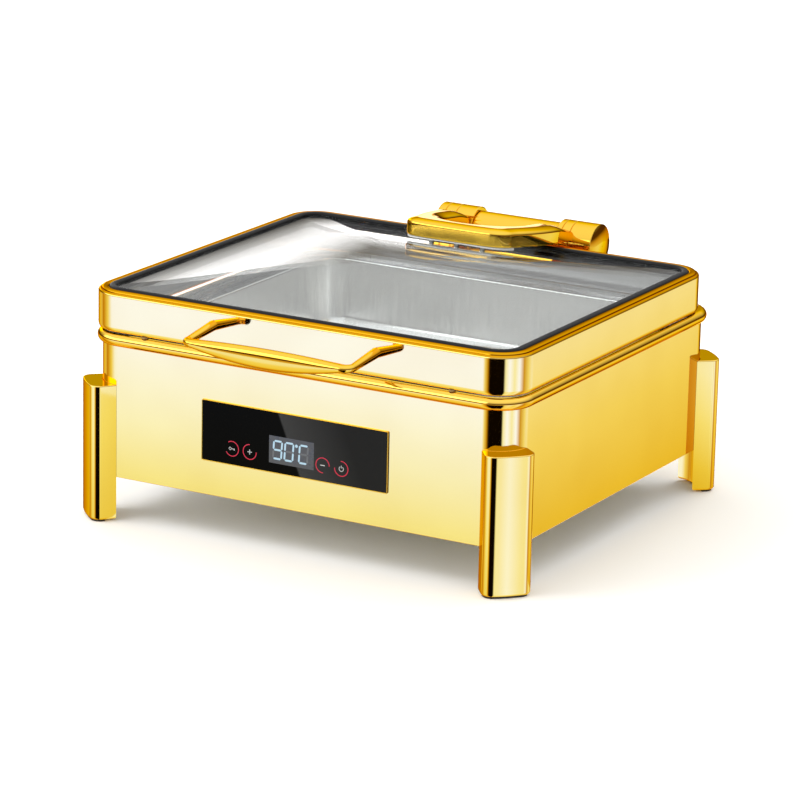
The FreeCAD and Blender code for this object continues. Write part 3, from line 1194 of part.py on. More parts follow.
def hinge_bracket():
    bracket = new_body("bracket")
    side = sketch(bracket, "bracket_side", "YZ_Plane")
    low = "body_low + bracket_low"
    high = "body_low + bracket_high"
    outline(side, [
        ("body_rear", low),
        ("body_rear", high),
        ("body_rear + bead_reach + 1.4", high),
        ("body_rear + bead_reach + 1.4", "axis_z - 9"),
        ("axis_y + 12", "axis_z - 9", ("axis_y - 1", "axis_z - 44")),
        ("body_rear + 9", f"{low} + 6"),
        ("body_rear + 9", low),
    ])
    pad(bracket, side, "bracket_width", both=True)
    barrel = sketch(bracket, "bracket_tube", "YZ_Plane")
    circle(barrel, "tube_radius", "axis_y", "axis_z")
    pad(bracket, barrel, "2 * (barrel_inner - washer_thick - 2 * tube_play)", both=True)
    eye = sketch(bracket, "bracket_eye", "YZ_Plane")
    circle(eye, "pin_radius + pin_play", "axis_y", "axis_z")
    pocket(bracket, eye, "3 * barrel_inner", both=True)
    taps = sketch(bracket, "bracket_taps", "XZ_Plane", "-body_rear + 1")
    for sx in (-1, 1):
        for rise in ("bolt_low", "bolt_high"):
            circle(taps, "bolt_radius + 0.05", f"{sx} * bolt_off", "body_low + " + rise)
    pocket(bracket, taps, "8.5", back=False)
    node(bracket, "hinge_bracket")

    plate = box("backing_slab", "-34", "34", "inner_rear - 2", "inner_rear", low, f"{high} - 2")
    eyes = []
    screws = []
    for sx in (-1, 1):
        for index, rise in enumerate(("bolt_low", "bolt_high")):
            eyes.append(rod(f"backing_eye_{sx}_{index}", "bolt_radius + 0.1", "4", f"{sx} * bolt_off",
                            "inner_rear - 3", "body_low + " + rise, ALONG_Y))
            screws.append(screw(f"bracket_screw_{sx}_{index}", "bolt_radius", "2 + sheet_wall + 7", "4.6",
                                "3", f"{sx} * bolt_off", "inner_rear - 2", "body_low + " + rise, ALONG_Y))
    node(cut("backing_drilled", plate, fuse("backing_eyes", eyes)), "backing_plate")
    group("bracket_screws", screws)
    node(rod("pin_rod", "pin_radius", "2 * pin_end", "-pin_end", "axis_y", "axis_z", ALONG_X), "hinge_pin")
    clips, washers = [], []
    for side, start in (("right", "pin_end - 1.6"), ("left", "-pin_end + 0.6")):
        clips.append(tube("clip_" + side, "clip_radius", "pin_radius + pin_play", "clip_thick", start,
                          "axis_y", "axis_z", ALONG_X))
    for side, start in (("right", "barrel_inner - washer_thick - tube_play"),
                        ("left", "-barrel_inner + tube_play")):
        washers.append(tube("washer_" + side, "tube_radius - 1.5", "pin_radius + pin_play", "washer_thick",
                            start, "axis_y", "axis_z", ALONG_X))
    group("pin_washers", clips + washers)


# Clamp: silicone sheets each side of the glass, a steel plate below, and
# three screws up into the arm.

def glass_clamp():
    y0, y1 = "arm_screw_y - clamp_deep / 2", "arm_screw_y + clamp_deep / 2"
    upper = box("gasket_blank", "-clamp_half", "clamp_half", y0, y1, "arm_low - 25", "arm_low + 10")
    angle = math.degrees(math.atan(value("arm_slope")))
    arm_shape = box("gasket_top", "-60", "60", "0", "80", "0", "40")
    put(arm_shape, "-60", "arm_front", "arm_low - soft_gap", Rotation(Vector(1, 0, 0), -angle))
    block = fuse("gasket_limits", [arm_shape, dome("gasket_floor", -value("soft_gap"), 30)])
    node(cut("gasket_cut", cut("gasket_form", upper, block), clamp_drills("gasket", "3")), "arm_gasket")

    plate = box("clamp_slab", "-clamp_half", "clamp_half", y0, y1, "clamp_top - clamp_sheet", "clamp_top")
    node(cut("clamp_plate_cut", plate, clamp_drills("plate", "2.7")), "clamp_plate")
    blank = box("under_blank", "-clamp_half", "clamp_half", y0, y1, "clamp_top", "arm_low + 10")
    under = doc.addObject("Part::Common", "under_form")
    under.Base = blank
    under.Tool = dome("under_limit", value("glass_thick + soft_gap"), 30)
    node(cut("under_cut", under, clamp_drills("under", "3")), "clamp_gasket")
    screws = [screw(f"arm_screw_{index}", "2.5", "19", "4.6", "2.8", x, y, "clamp_top - clamp_sheet")
              for index, (x, y) in enumerate(arm_screw_places())]
    group("arm_screws", screws)


def clamp_drills(name, radius):
    """Three holes through the clamp, for the arm's screws."""
    return fuse(name + "_drills", [rod(f"{name}_drill_{index}", radius, "60", x, y, "arm_low - 30")
                                   for index, (x, y) in enumerate(arm_screw_places())])


def lid_bumpers():
    pads = []
    for sx in (-1, 1):
        for sy in (-1, 1):
            pads.append(rod(f"bumper_{sx}_{sy}", "3", "skirt_gap - 0.3", f"{sx} * 150",
                            f"{sy} * (half_y - 3.5)", "deck_top"))
    group("lid_bumpers", pads)


body_shell()
rim_frame()
water_pan()
food_pan()
bottom_cover()
legs()
control_panel()
heater()
supply()
lid_frame()
lid_seal()
lid_glass()
lid_handle()
hinge_arm()
hinge_bracket()
glass_clamp()
lid_bumpers()
doc.recompute()

faults = []
for item in doc.Objects:
    if "Invalid" in item.State or "Error" in item.State:
        faults.append(item.Name + " " + str(item.State))
for item in nodes:
    if item.Shape.isNull() or not item.Shape.isValid() or not item.Shape.Solids:
        faults.append(item.Label + " has no valid solid")
if faults:
    raise RuntimeError("; ".join(faults))

os.makedirs("parts", exist_ok=True)
for item in nodes:
    item.Shape.exportStep(f"parts/{item.Label}.step")
print(len(nodes), "nodes,", sum(len(item.Shape.Solids) for item in nodes), "solids")
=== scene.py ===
from math import acos, atan, atan2, copysign, cos, hypot, pi, radians, sin, sqrt, tan, tau

import bmesh
import bpy
from mathutils import Matrix, Vector


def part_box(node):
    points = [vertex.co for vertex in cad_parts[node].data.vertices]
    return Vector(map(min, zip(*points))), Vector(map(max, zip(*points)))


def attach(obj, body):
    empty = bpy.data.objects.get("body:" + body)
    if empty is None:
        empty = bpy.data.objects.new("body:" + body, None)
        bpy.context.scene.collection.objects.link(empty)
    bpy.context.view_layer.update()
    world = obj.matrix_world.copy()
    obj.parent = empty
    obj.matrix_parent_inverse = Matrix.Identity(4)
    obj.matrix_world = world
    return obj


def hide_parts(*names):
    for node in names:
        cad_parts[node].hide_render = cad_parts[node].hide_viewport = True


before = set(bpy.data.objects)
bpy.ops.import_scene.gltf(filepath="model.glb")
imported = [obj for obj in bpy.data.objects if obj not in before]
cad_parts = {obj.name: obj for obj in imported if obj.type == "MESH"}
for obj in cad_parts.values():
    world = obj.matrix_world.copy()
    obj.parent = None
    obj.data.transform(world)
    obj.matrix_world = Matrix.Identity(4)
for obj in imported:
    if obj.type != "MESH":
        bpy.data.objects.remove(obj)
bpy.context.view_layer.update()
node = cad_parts
scene = bpy.context.scene
mm = 0.001


# The camera stands to the right of the dish and a little above it, far off
# with a long lens, as the product was photographed.
def new_object(name, data):
    made = bpy.data.objects.new(name, data)
    scene.collection.objects.link(made)
    return made


view_turn, view_rise, view_tilt = (radians(a) for a in (29.127, 15.748, 1.247))
view_from = Vector((1.6801, -3.0189, 1.0678))
sensor_width, focal_pixels, picture_pixels = 36, 4070.5, 800
towards = Vector((sin(view_turn) * cos(view_rise),
                  -cos(view_turn) * cos(view_rise), sin(view_rise)))
level = Vector((cos(view_turn), sin(view_turn), 0))
upright = towards.cross(level)
right_hand = level * cos(view_tilt) + upright * sin(view_tilt)
top_side = upright * cos(view_tilt) - level * sin(view_tilt)
camera = new_object("camera", bpy.data.cameras.new("camera"))
camera.data.sensor_width = sensor_width
camera.data.lens = sensor_width * focal_pixels / picture_pixels
camera.data.clip_end = 60
turn = Matrix((right_hand, top_side, towards)).transposed()
camera.matrix_world = Matrix.Translation(view_from) @ turn.to_4x4()
scene.camera = camera
scene.view_settings.view_transform = "Standard"


# A white studio: a pale floor that runs out of sight, and round the dish a
# ring of bright cards and black flags, which the polished metal mirrors.
def rgb(colour):
    """A colour as a tuple, also where it is given as one grey."""
    return colour if isinstance(colour, tuple) else (colour, colour, colour)


def material(name, colour=0.8, rough=0.5, metal=0.0):
    made = bpy.data.materials.new(name)
    made.use_nodes = True
    shader = made.node_tree.nodes["Principled BSDF"]
    shader.inputs["Base Color"].default_value = (*rgb(colour), 1)
    shader.inputs["Roughness"].default_value = rough
    shader.inputs["Metallic"].default_value = metal
    return made


def bare_material(name):
    """A material that has no shader yet, and its tree."""
    made = material(name)
    made.node_tree.nodes.remove(made.node_tree.nodes["Principled BSDF"])
    return made, made.node_tree


def add(tree, kind, links=(), **settings):
    """A node with its settings, and its inputs given as numbers or sockets."""
    made = tree.nodes.new(kind)
    for key, setting in settings.items():
        setattr(made, key, setting)
    for socket, source in links:
        if isinstance(source, bpy.types.NodeSocket):
            tree.links.new(source, made.inputs[socket])
        else:
            made.inputs[socket].default_value = source
    return made


def result(tree, kind, links=(), **settings):
    """The first output of a new node."""
    return add(tree, kind, links, **settings).outputs[0]


def calc(tree, operation, *values):
    return result(tree, "ShaderNodeMath", enumerate(values), operation=operation)


def place_in(tree):
    """A point's place on the object itself."""
    return add(tree, "ShaderNodeTexCoord").outputs["Object"]


def parted(tree, place):
    """The X, Y and Z of a place."""
    return add(tree, "ShaderNodeSeparateXYZ", [("Vector", place)]).outputs


def ramp(tree, factor, stops):
    """A colour ramp over a factor. A stop is (place, grey or colour)."""
    made = add(tree, "ShaderNodeValToRGB", [("Fac", factor)])
    stop_list = made.color_ramp.elements
    for index, (place, colour) in enumerate(stops):
        stop = stop_list[index] if index < 2 else stop_list.new(place)
        stop.position = place
        stop.color = (*rgb(colour), 1)
    return made.outputs["Color"]


def mixed(tree, share, first, second, blend="MIX"):
    """Two colours mixed. The node's sockets for colours are 6 and 7, and 2 going out."""
    return add(tree, "ShaderNodeMix", [(0, share), (6, first), (7, second)],
               data_type="RGBA", blend_type=blend).outputs[2]


def show(tree, shader, output="Material Output"):
    tree.links.new(shader, tree.nodes[output].inputs["Surface"])


def mesh_of(name, points, faces=()):
    mesh = bpy.data.meshes.new(name)
    mesh.from_pydata(points, [], faces)
    return mesh


def plane(name, z, finish, half=12):
    """A wide level sheet that belongs to the studio."""
    corners = [(-half, -half, z), (half, -half, z), (half, half, z), (-half, half, z)]
    made = new_object(name, mesh_of(name, corners, [(0, 1, 2, 3)]))
    made.data.materials.append(finish)
    return made


# The paper is clear from below, so that the underside can be looked at.
paper = material("floor_paper", (0.93, 0.93, 0.92), 0.9)
paper_nodes = paper.node_tree
under_side = add(paper_nodes, "ShaderNodeNewGeometry").outputs["Backfacing"]
show(paper_nodes, result(paper_nodes, "ShaderNodeMixShader", [
    ("Fac", under_side), (1, paper_nodes.nodes["Principled BSDF"].outputs["BSDF"]),
    (2, result(paper_nodes, "ShaderNodeBsdfTransparent"))]))
floor = plane("floor", 0, paper)
floor.visible_glossy = False

# The metal mirrors the cards through a sheet on the floor that holds painted shade and a painted gold
# bounce:
# warmer and darker near the dish, standing in for the light its own gold throws on the paper beside it.
wall_x, wall_y, right_from_y, front_to_x, right_fade, front_fade = 0.206, 0.192, -0.15, 0.2, 3.0, 1.7
tint, film = bare_material("floor_painted_shade")
spot = parted(film, place_in(film))
beside = calc(film, "MULTIPLY", calc(film, "SUBTRACT", spot["X"], wall_x), right_fade)
before = calc(film, "SUBTRACT", calc(film, "ABSOLUTE", spot["Y"]), wall_y)
on_right = calc(film, "MULTIPLY", calc(film, "GREATER_THAN", beside, 0.0),
                calc(film, "GREATER_THAN", spot["Y"], right_from_y))
right_shade = ramp(film, calc(film, "MULTIPLY", beside, on_right),
                   [(0.0, 1), (0.01, (0.82, 0.58, 0.05)), (0.2, (0.90, 0.70, 0.12)),
                    (0.55, (0.97, 0.87, 0.40)), (0.9, (1, 0.98, 0.85)), (1.0, 1)])
elsewhere = calc(film, "MAXIMUM", calc(film, "GREATER_THAN", spot["X"], front_to_x),
                 calc(film, "LESS_THAN", before, 0.0))
faded = calc(film, "MAXIMUM", calc(film, "MULTIPLY", before, front_fade), elsewhere)
front_shade = ramp(film, faded,
                   [(0.0, (0.88, 0.70, 0.15)), (0.2, (0.95, 0.83, 0.30)), (0.45, (0.98, 0.93, 0.60)),
                    (0.8, (1, 0.99, 0.92)), (1.0, 1)])
show(film, result(film, "ShaderNodeBsdfTransparent", [
    ("Color", mixed(film, 1.0, right_shade, front_shade, "MULTIPLY"))]))
sheet_lift = 0.2 * mm
tinted = plane("floor_painted_shade", sheet_lift, tint)
tinted.visible_camera = tinted.visible_diffuse = tinted.visible_shadow = tinted.visible_transmission = False

# Below the horizon stand the cards, by their bearing in degrees. Above it are
# the dim room, a lit ceiling, a glare for the glass and a window at the front.
world = bpy.data.worlds.new("studio")
world.use_nodes = True
sky = world.node_tree
look = parted(sky, add(sky, "ShaderNodeTexCoord").outputs["Generated"])
rise = look["Z"]
bearing = calc(sky, "ARCTAN2", look["X"], calc(sky, "MULTIPLY", look["Y"], -1.0))
round_share = calc(sky, "MULTIPLY_ADD", bearing, 1 / tau, 0.5)
cream, side_cream, ivory, honey = (1.07, 1.38, 3.6), (1.04, 1.2, 1.9), (1.02, 1.18, 1.5), (0.97, 0.96, 0.55)
amber, brown, jet = (0.66, 0.40, 0.02), (0.12, 0.05, 0.0), (0.004, 0.002, 0.0)
card_ring = [(-180, brown), (-146, brown), (-128, amber), (-105, honey), (-84, amber), (-62, honey),
             (-46, cream), (-23, cream), (-16, honey), (-8, amber), (-3, brown), (0, jet), (42, jet),
             (47, ivory), (60, cream), (76, ivory), (92, cream), (108, amber), (128, honey),
             (144, side_cream), (158, side_cream), (168, honey), (176, brown), (180, brown)]
deep_down = ramp(sky, calc(sky, "MULTIPLY", rise, -1.0), [(0.34, 0.0), (0.42, 1.0)])
card_light = ramp(sky, round_share, [((angle + 180) / 360, colour) for angle, colour in card_ring])
cards = mixed(sky, deep_down, card_light, (1, 0.88, 0.42, 1), "MULTIPLY")
room_light = ramp(sky, calc(sky, "MULTIPLY_ADD", rise, 0.5, 0.5),
                  [(0.0, 0.9), (0.4, (0.92, 0.86, 0.55)), (0.44, (0.66, 0.42, 0.08)),
                   (0.475, (0.10, 0.045, 0.004)), (0.52, (0.08, 0.036, 0.004)), (0.57, (0.30, 0.27, 0.22)),
                   (0.64, 0.62), (0.72, 0.95), (0.82, 1.15), (1.0, 1.25)])
card_top, glare_left, glare_lean, glare_power, window_power = -0.2, 0.4685, 1.2, 2.2, 2.4
glare_edge = calc(sky, "MULTIPLY_ADD", calc(sky, "ADD", look["X"], glare_left), glare_lean, rise)
glare = calc(sky, "MULTIPLY",
             ramp(sky, calc(sky, "ADD", glare_edge, 0.5),
                  [(0.0, 0.0), (0.16, 0.0), (0.2, 1.0), (0.46, 1.0), (0.53, 0.45), (0.6, 0.0)]),
             ramp(sky, round_share, [(0.0, 0.3), (0.03, 1.0), (0.14, 1.0), (0.2, 0.0)]))
window = calc(sky, "MULTIPLY",
              ramp(sky, rise, [(0.0, 0.0), (0.06, 0.0), (0.14, 1.0), (0.42, 1.0), (0.55, 0.0)]),
              ramp(sky, round_share, [(0.0, 0.0), (0.26, 0.0), (0.31, 1.0), (0.47, 1.0), (0.5, 0.0)]))
bright_power = calc(sky, "MULTIPLY_ADD", glare, glare_power, calc(sky, "MULTIPLY", window, window_power))
open_sky = mixed(sky, calc(sky, "LESS_THAN", rise, card_top), room_light, cards)
steady = result(sky, "ShaderNodeBackground", [("Color", open_sky), ("Strength", 1.0)])
bright = result(sky, "ShaderNodeBackground", [("Color", (1, 1, 1, 1)), ("Strength", bright_power)])
show(sky, result(sky, "ShaderNodeAddShader", [(0, steady), (1, bright)]), "World Output")
scene.world = world


def soft_box(name, place, aim, width, tall, power):
    """A rectangle of light that the metal doesn't mirror."""
    lamp = bpy.data.lights.new(name, "AREA")
    lamp.shape = "RECTANGLE"
    lamp.size, lamp.size_y, lamp.energy = width, tall, power
    made = new_object(name, lamp)
    made.location = place
    made.rotation_euler = (Vector(aim) - Vector(place)).to_track_quat("-Z", "Y").to_euler()
    made.visible_glossy = False


soft_box("key_box", (-1.4, -1.2, 1.9), (0, 0, 0.1), 1.4, 1.0, 22)
soft_box("back_box", (0.5, 1.9, 1.9), (0, 0, 0.2), 1.8, 0.7, 18)


# Body: the wall drawn from one sheet, with a flange turned in at the bottom
# for the cover. Gold coated steel, cut open behind the panel and round the inlet.
def in_mm(*lengths):
    return [length * mm for length in lengths]


def surfaced(name, pale, dark, rough, metal=0.0, size=0.03, grain=(1, 1, 1), spread=0.2, relief=0.05,
             deep=0.0003, detail=4.0, more=()):
    """A material whose colour, gloss and relief vary with a noise of one size.
    More holds other inputs of the shader, as (name, value)."""
    made = material(name, pale, rough, metal)
    tree = made.node_tree
    shader = tree.nodes["Principled BSDF"].inputs
    drawn = result(tree, "ShaderNodeMapping", [("Vector", place_in(tree)), ("Scale", grain)])
    noise = result(tree, "ShaderNodeTexNoise", [("Vector", drawn), ("Scale", 1 / size), ("Detail", detail)])
    gloss = ramp(tree, noise, [(0.3, rough * (1 - spread)), (0.7, rough * (1 + spread))])
    bump = result(tree, "ShaderNodeBump", [("Height", noise), ("Strength", relief), ("Distance", deep)])
    tree.links.new(ramp(tree, noise, [(0.3, dark), (0.7, pale)]), shader["Base Color"])
    tree.links.new(gloss, shader["Roughness"])
    tree.links.new(bump, shader["Normal"])
    for label, setting in more:
        shader[label].default_value = setting
    return made


def gold(name, red=0.93, green=0.69, blue=0.22):
    """Polished steel with a hard gold coating, faintly wavy as rolled sheet is."""
    return surfaced(name, (red, green, blue), (red * 0.97, green * 0.95, blue * 0.92), 0.05, 1.0, size=0.06,
                    relief=0.06, detail=1.0, more=[("Specular Tint", (0.88, 0.55, 0.10, 1))])


def arc(steps, start=0, end=90):
    """Even angles from a start to an end given in degrees, both included."""
    return [radians(start + (end - start) * k / steps) for k in range(steps + 1)]


def outline(half_x, half_y, corner, mid_y, z):
    """The points of a rectangle with round corners, at one height."""
    return [(sx * (half_x - corner) + corner * cos(angle),
             mid_y + sy * (half_y - corner) + corner * sin(angle), z)
            for start, sx, sy in ((-90, 1, -1), (0, 1, 1), (90, -1, 1), (180, -1, -1))
            for angle in arc(12, start, start + 90)]


def baked(made):
    """Turn a piece with its modifiers into a plain mesh."""
    shaped = made.evaluated_get(bpy.context.evaluated_depsgraph_get())
    made.data = bpy.data.meshes.new_from_object(shaped)
    made.modifiers.clear()
    return made


def evened(made, sharp):
    """Smooth shading that keeps flat faces flat and edges over an angle sharp."""
    made.data.shade_smooth()
    made.data.set_sharp_from_angle(angle=radians(sharp))
    even = made.modifiers.new("even", "WEIGHTED_NORMAL")
    even.keep_sharp = True
    even.weight = 80
    return baked(made)


def finished(name, mesh, finish, sharp=32, merge=1e-7, flat=None):
    """A piece from a mesh: doubles merged, faces outward, shading even. Where a
    flat angle is given in degrees, faces that meet at less become one."""
    work = bmesh.new()
    work.from_mesh(mesh)
    bmesh.ops.remove_doubles(work, verts=work.verts, dist=merge)
    if flat:
        bmesh.ops.dissolve_limit(work, angle_limit=radians(flat), verts=work.verts, edges=work.edges)
    bmesh.ops.recalc_face_normals(work, faces=work.faces)
    work.to_mesh(mesh)
    work.free()
    mesh.materials.clear()
    mesh.materials.append(finish)
    return evened(new_object(name, mesh), sharp)


def skin(name, loops, finish, capped=False, sharp=32):
    """A surface through loops of equally many points. The last loop joins the
    first, or where it is capped, a flat face closes each end."""
    count, rows = len(loops[0]), len(loops)
    faces = []
    for row in range(rows - 1 if capped else rows):
        here, after = row * count, (row + 1) % rows * count
        for k in range(count):
            nxt = (k + 1) % count
            faces.append((here + k, here + nxt, after + nxt, after + k))
    if capped:
        faces.append(tuple(reversed(range(count))))
        faces.append(tuple((rows - 1) * count + k for k in range(count)))
    mesh = mesh_of(name, [point for loop in loops for point in loop], faces)
    mesh.validate()
    return finished(name, mesh, finish, sharp)


def cut_open(made, low, high):
    """Cut a box out of a piece."""
    mesh = bpy.data.meshes.new("opening")
    work = bmesh.new()
    bmesh.ops.create_cube(work, size=1)
    for vert in work.verts:
        vert.co = [(low[k] + high[k]) / 2 + vert.co[k] * (high[k] - low[k]) for k in range(3)]
    work.to_mesh(mesh)
    work.free()
    opening = new_object("opening", mesh)
    cut = made.modifiers.new("cut", "BOOLEAN")
    cut.object, cut.solver = opening, "EXACT"
    baked(made)
    bpy.data.objects.remove(opening)
    return evened(made, 32)


def place_piece(made, body, slot, *nodes):
    """Say which body a piece rides on and hide the CAD nodes it stands for. The material slot is not used.
    """
    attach(made, body)
    if nodes:
        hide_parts(*nodes)
    return made


shell_low, shell_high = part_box("body_shell")
body_half_x = shell_high.x
body_half_y = (shell_high.y - shell_low.y) / 2
body_mid_y = (shell_high.y + shell_low.y) / 2
body_low, wall_top = shell_low.z, shell_high.z
body_corner, sheet, flange, foot_bend = in_mm(29, 1.2, 14, 0.4)
flange_low = body_low + 1.5 * mm


def body_loop(inset, z):
    corner = max(body_corner - inset, 2 * mm)
    return outline(body_half_x - inset, body_half_y - inset, corner, body_mid_y, z)


walls = skin("body_walls", [body_loop(inset, z) for inset, z in (
    (0, body_low + foot_bend), (foot_bend, body_low), (sheet, body_low), (sheet, flange_low),
    (flange, flange_low), (flange, flange_low + sheet), (sheet, flange_low + sheet), (sheet, wall_top),
    (0, wall_top))], gold("body_gold"))
panel_low, panel_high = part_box("touch_panel")
inlet_low, inlet_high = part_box("power_inlet")
panel_rest, inlet_rim_x, inlet_rim_z, past, within_wall = in_mm(5, 10.8, 1.55, 2, 3)
cut_open(walls, (panel_low.x + panel_rest, shell_low.y - past, panel_low.z + panel_rest),
         (panel_high.x - panel_rest, shell_low.y + within_wall, panel_high.z - panel_rest))
cut_open(walls, (inlet_low.x + inlet_rim_x, shell_high.y - within_wall, inlet_low.z + inlet_rim_z),
         (inlet_high.x - inlet_rim_x, shell_high.y + past, inlet_high.z - inlet_rim_z))
place_piece(walls, "base", "gold_steel", "body_shell")


# Rim frame: the deck that carries the pans, its edge rolled over the wall in
# a round bead and its opening turned down to stiffen it. Bare steel inside the lid, darkened as painted
# shade for the gap under the lid.
rim_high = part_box("rim_frame")[1]
deck_top, bead_reach, bead_tall = rim_high.z, rim_high.x - body_half_x, 11.5 * mm
lid_low, lid_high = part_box("lid_frame")
lid_mid_y = (lid_low.y + lid_high.y) / 2
deck_opening, deck_inside = in_mm(173, 158.5, 31.8), in_mm(206, 181, 28)


def rolled(tall, reach, steps=12):
    """A bead's section as (reach out, drop), from its foot to its top."""
    radius = ((tall / 2) ** 2 + reach ** 2) / (2 * reach)
    half = acos((radius - reach) / radius)
    return [(radius * cos(half * (2 * k / steps - 1)) - radius + reach,
             radius * sin(half * (2 * k / steps - 1)) - tall / 2) for k in range(steps + 1)]


def lid_ring(sizes, inset, z):
    """A loop about the lid's middle. Sizes are half width, half depth and corner."""
    return outline(*(length - inset for length in sizes), lid_mid_y, z)


def within(point, half_x, half_y, corner):
    """How far a point lies inside a rounded rectangle about the lid's middle."""
    out_x = abs(point.x) - (half_x - corner)
    out_y = abs(point.y - lid_mid_y) - (half_y - corner)
    if out_x > 0 and out_y > 0:
        return corner - hypot(out_x, out_y)
    return corner - max(out_x, out_y)


def second_finish(made, finish, has_it):
    """Give the faces that pass a test another finish."""
    made.data.materials.append(finish)
    for face in made.data.polygons:
        if has_it(face.center):
            face.material_index = len(made.data.materials) - 1


# Bare steel, made darker than the steel elsewhere as painted shade for the gap under the lid.
bare_steel_painted_shade = surfaced("bare_steel_painted_shade", 0.42, 0.36, 0.2, 1.0, size=0.05, relief=0.02, detail=1.0)
rim_loops = [body_loop(-reach, deck_top + drop) for reach, drop in rolled(bead_tall, bead_reach)]
rim_loops.append(lid_ring(deck_inside, 0, deck_top))
rim_loops += [lid_ring(deck_opening, inset, deck_top - drop) for inset, drop in (
    in_mm(-1.2, 0), in_mm(-0.3, 0.3), in_mm(0, 1.2), in_mm(0, 7.2), (-sheet, 7.2 * mm), (-sheet, sheet))]
rim_loops.append(body_loop(0, deck_top - sheet))
rim = skin("rim", rim_loops, gold("rim_gold", green=0.60, blue=0.10))
second_finish(rim, bare_steel_painted_shade, lambda spot: within(spot, *deck_inside) > 0.2 * mm)
place_piece(rim, "base", "gold_steel", "rim_frame")


# Water pan and food pan: wells drawn from stainless sheet, with sloped walls
# and round floors. They lie one in the other on their flanges.
def steel(name, rough=0.24, bright=0.88):
    """Stainless sheet with the fine streaks that drawing leaves."""
    pale, dark = (bright, bright * 0.99, bright * 0.97), (bright * 0.91, bright * 0.9, bright * 0.88)
    return surfaced(name, pale, dark, rough, 1.0, size=0.003, grain=(1, 1, 0.08), spread=0.12, relief=0.04)


def pan(name, room, top, deep, thick, bend, flange_edge, lip, finish, source):
    """A drawn pan. Room and flange edge are half width, half depth and corner.
    The lip is the height of the flange's turned edge: up, or down if below 0."""
    slope = tan(radians(3))

    def well(inset, z):
        return lid_ring(room, inset + (top - z) * slope, z)

    def side(inset, low, radius):
        """The wall from under the flange down into the floor's bend."""
        under = top - thick + inset
        shoulder = [(inset - 2 * mm, under), (inset - 0.6 * mm, under - 0.6 * mm), (inset, under - 2 * mm)]
        return [well(*place) for place in shoulder] + [
            well(inset + radius * (1 - cos(angle)), low + radius * (1 - sin(angle)))
            for angle in arc(8)]

    if lip > 0:
        turned_edge = [(thick, top), (thick, top + lip), (0, top + lip), (0, top - thick)]
    else:
        turned_edge = [(0, top), (0, top - thick + lip), (thick, top - thick + lip), (thick, top - thick)]
    loops = side(thick, top - deep + thick, bend - thick)[::-1]
    loops += [lid_ring(flange_edge, inset, z) for inset, z in turned_edge]
    loops += side(0, top - deep, bend)
    place_piece(skin(name, loops, finish, capped=True), "base", "steel", source)


pan("water_bath", in_mm(171.2, 156.7, 30), deck_top + sheet, 79.2 * mm, sheet, 14 * mm,
    in_mm(191, 176.5, 52), 2.5 * mm, steel("bath_steel", 0.3, 0.45), "water_pan")
pan("food_pan_drawn", in_mm(165, 150.5, 26), deck_top + sheet + 3 * mm, 65 * mm, 1 * mm, 12 * mm,
    in_mm(177, 162.5, 38), -2 * mm, steel("pan_steel"), "food_pan")


# Legs: hollow bars folded from the same gold sheet, one across each corner,
# hugging its curve. Rubber plugs close them below and stand on the table.
leg_gold = gold("leg_gold", green=0.66, blue=0.16)
leg_half, leg_corner, leg_out, leg_wrap, leg_crown = in_mm(21.25, 9, 15.4, 5.5, 0.8)
foot_round, head_round, leg_gap = in_mm(2.2, 0.9, 0.05)
leg_low, leg_high = (corner.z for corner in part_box("leg_front_left"))


def leg_loop(inset, z, sx, sy):
    """A bar's outline at one height, its flat face out along the corner's diagonal."""
    half, front, bend = leg_half - inset, body_corner + leg_out - inset, leg_corner - inset / 2
    hug = body_corner + leg_gap + inset
    wing = max(body_corner - leg_wrap + inset, sqrt(max(hug ** 2 - half ** 2, 0)))
    open_at = atan2(wing, half)
    points = [(half - bend + bend * cos(angle), front - bend + bend * sin(angle))
              for angle in arc(8)]
    for step in range(1, 8):
        share = 1 - step / 4
        points.append((share * (half - bend), front + leg_crown * (1 - share ** 2)))
    points += [(-half + bend + bend * cos(angle), front - bend + bend * sin(angle))
               for angle in arc(8, 90, 180)]
    for step in range(17):
        angle = pi - open_at - (pi - 2 * open_at) * step / 16
        points.append((hug * cos(angle), hug * sin(angle)))
    along = Vector((sx, sy)).normalized()
    across = Vector((along.y, -along.x))
    middle = Vector((sx * (body_half_x - body_corner), body_mid_y + sy * (body_half_y - body_corner)))
    return [(*(middle + across * u + along * v), z) for u, v in points]


for name, sx, sy in (("front_left", -1, -1), ("front_right", 1, -1), ("rear_right", 1, 1),
                     ("rear_left", -1, 1)):
    heights = [(3 * mm, leg_low + 1 * mm), (2.4 * mm, leg_low)]
    heights += [(foot_round * (1 - sin(angle)), leg_low + foot_round * (1 - cos(angle)))
                for angle in arc(6)]
    heights += [(head_round * (1 - cos(angle)), leg_high - head_round * (1 - sin(angle)))
                for angle in arc(5)]
    loops = [leg_loop(inset, z, sx, sy) for inset, z in heights]
    place_piece(skin("leg_bar_" + name, loops, leg_gold, capped=True), "base", "gold_steel", "leg_" + name)


def dress(finish, *names):
    """Give CAD nodes their finish."""
    for name in names:
        node[name].data.materials.clear()
        node[name].data.materials.append(finish)


dress(surfaced("foot_rubber", 0.03, 0.015, 0.75, size=0.0012, relief=0.5), "foot_pads")


# Bottom cover: a zinc coated sheet with two rows of air slots, pressed flat at
# its edge. Pan head screws with a cross recess hold it to the body flange.
dress(surfaced("zinc_sheet", 0.62, (0.46, 0.46, 0.47), 0.42, 0.6, size=0.012, spread=0.3), "bottom_cover")


def new_tree(name, *sizes):
    """A Geometry Nodes tree with an input for each size and one for the finish."""
    tree = bpy.data.node_groups.new(name, "GeometryNodeTree")
    kinds = {"Geometry": "Geometry", **dict.fromkeys(sizes, "Float"), "Finish": "Material"}
    for label, kind in kinds.items():
        tree.interface.new_socket(label, in_out="INPUT", socket_type="NodeSocket" + kind)
    tree.interface.new_socket("Geometry", in_out="OUTPUT", socket_type="NodeSocketGeometry")
    return tree, tree.nodes.new("NodeGroupInput").outputs, tree.nodes.new("NodeGroupOutput").inputs


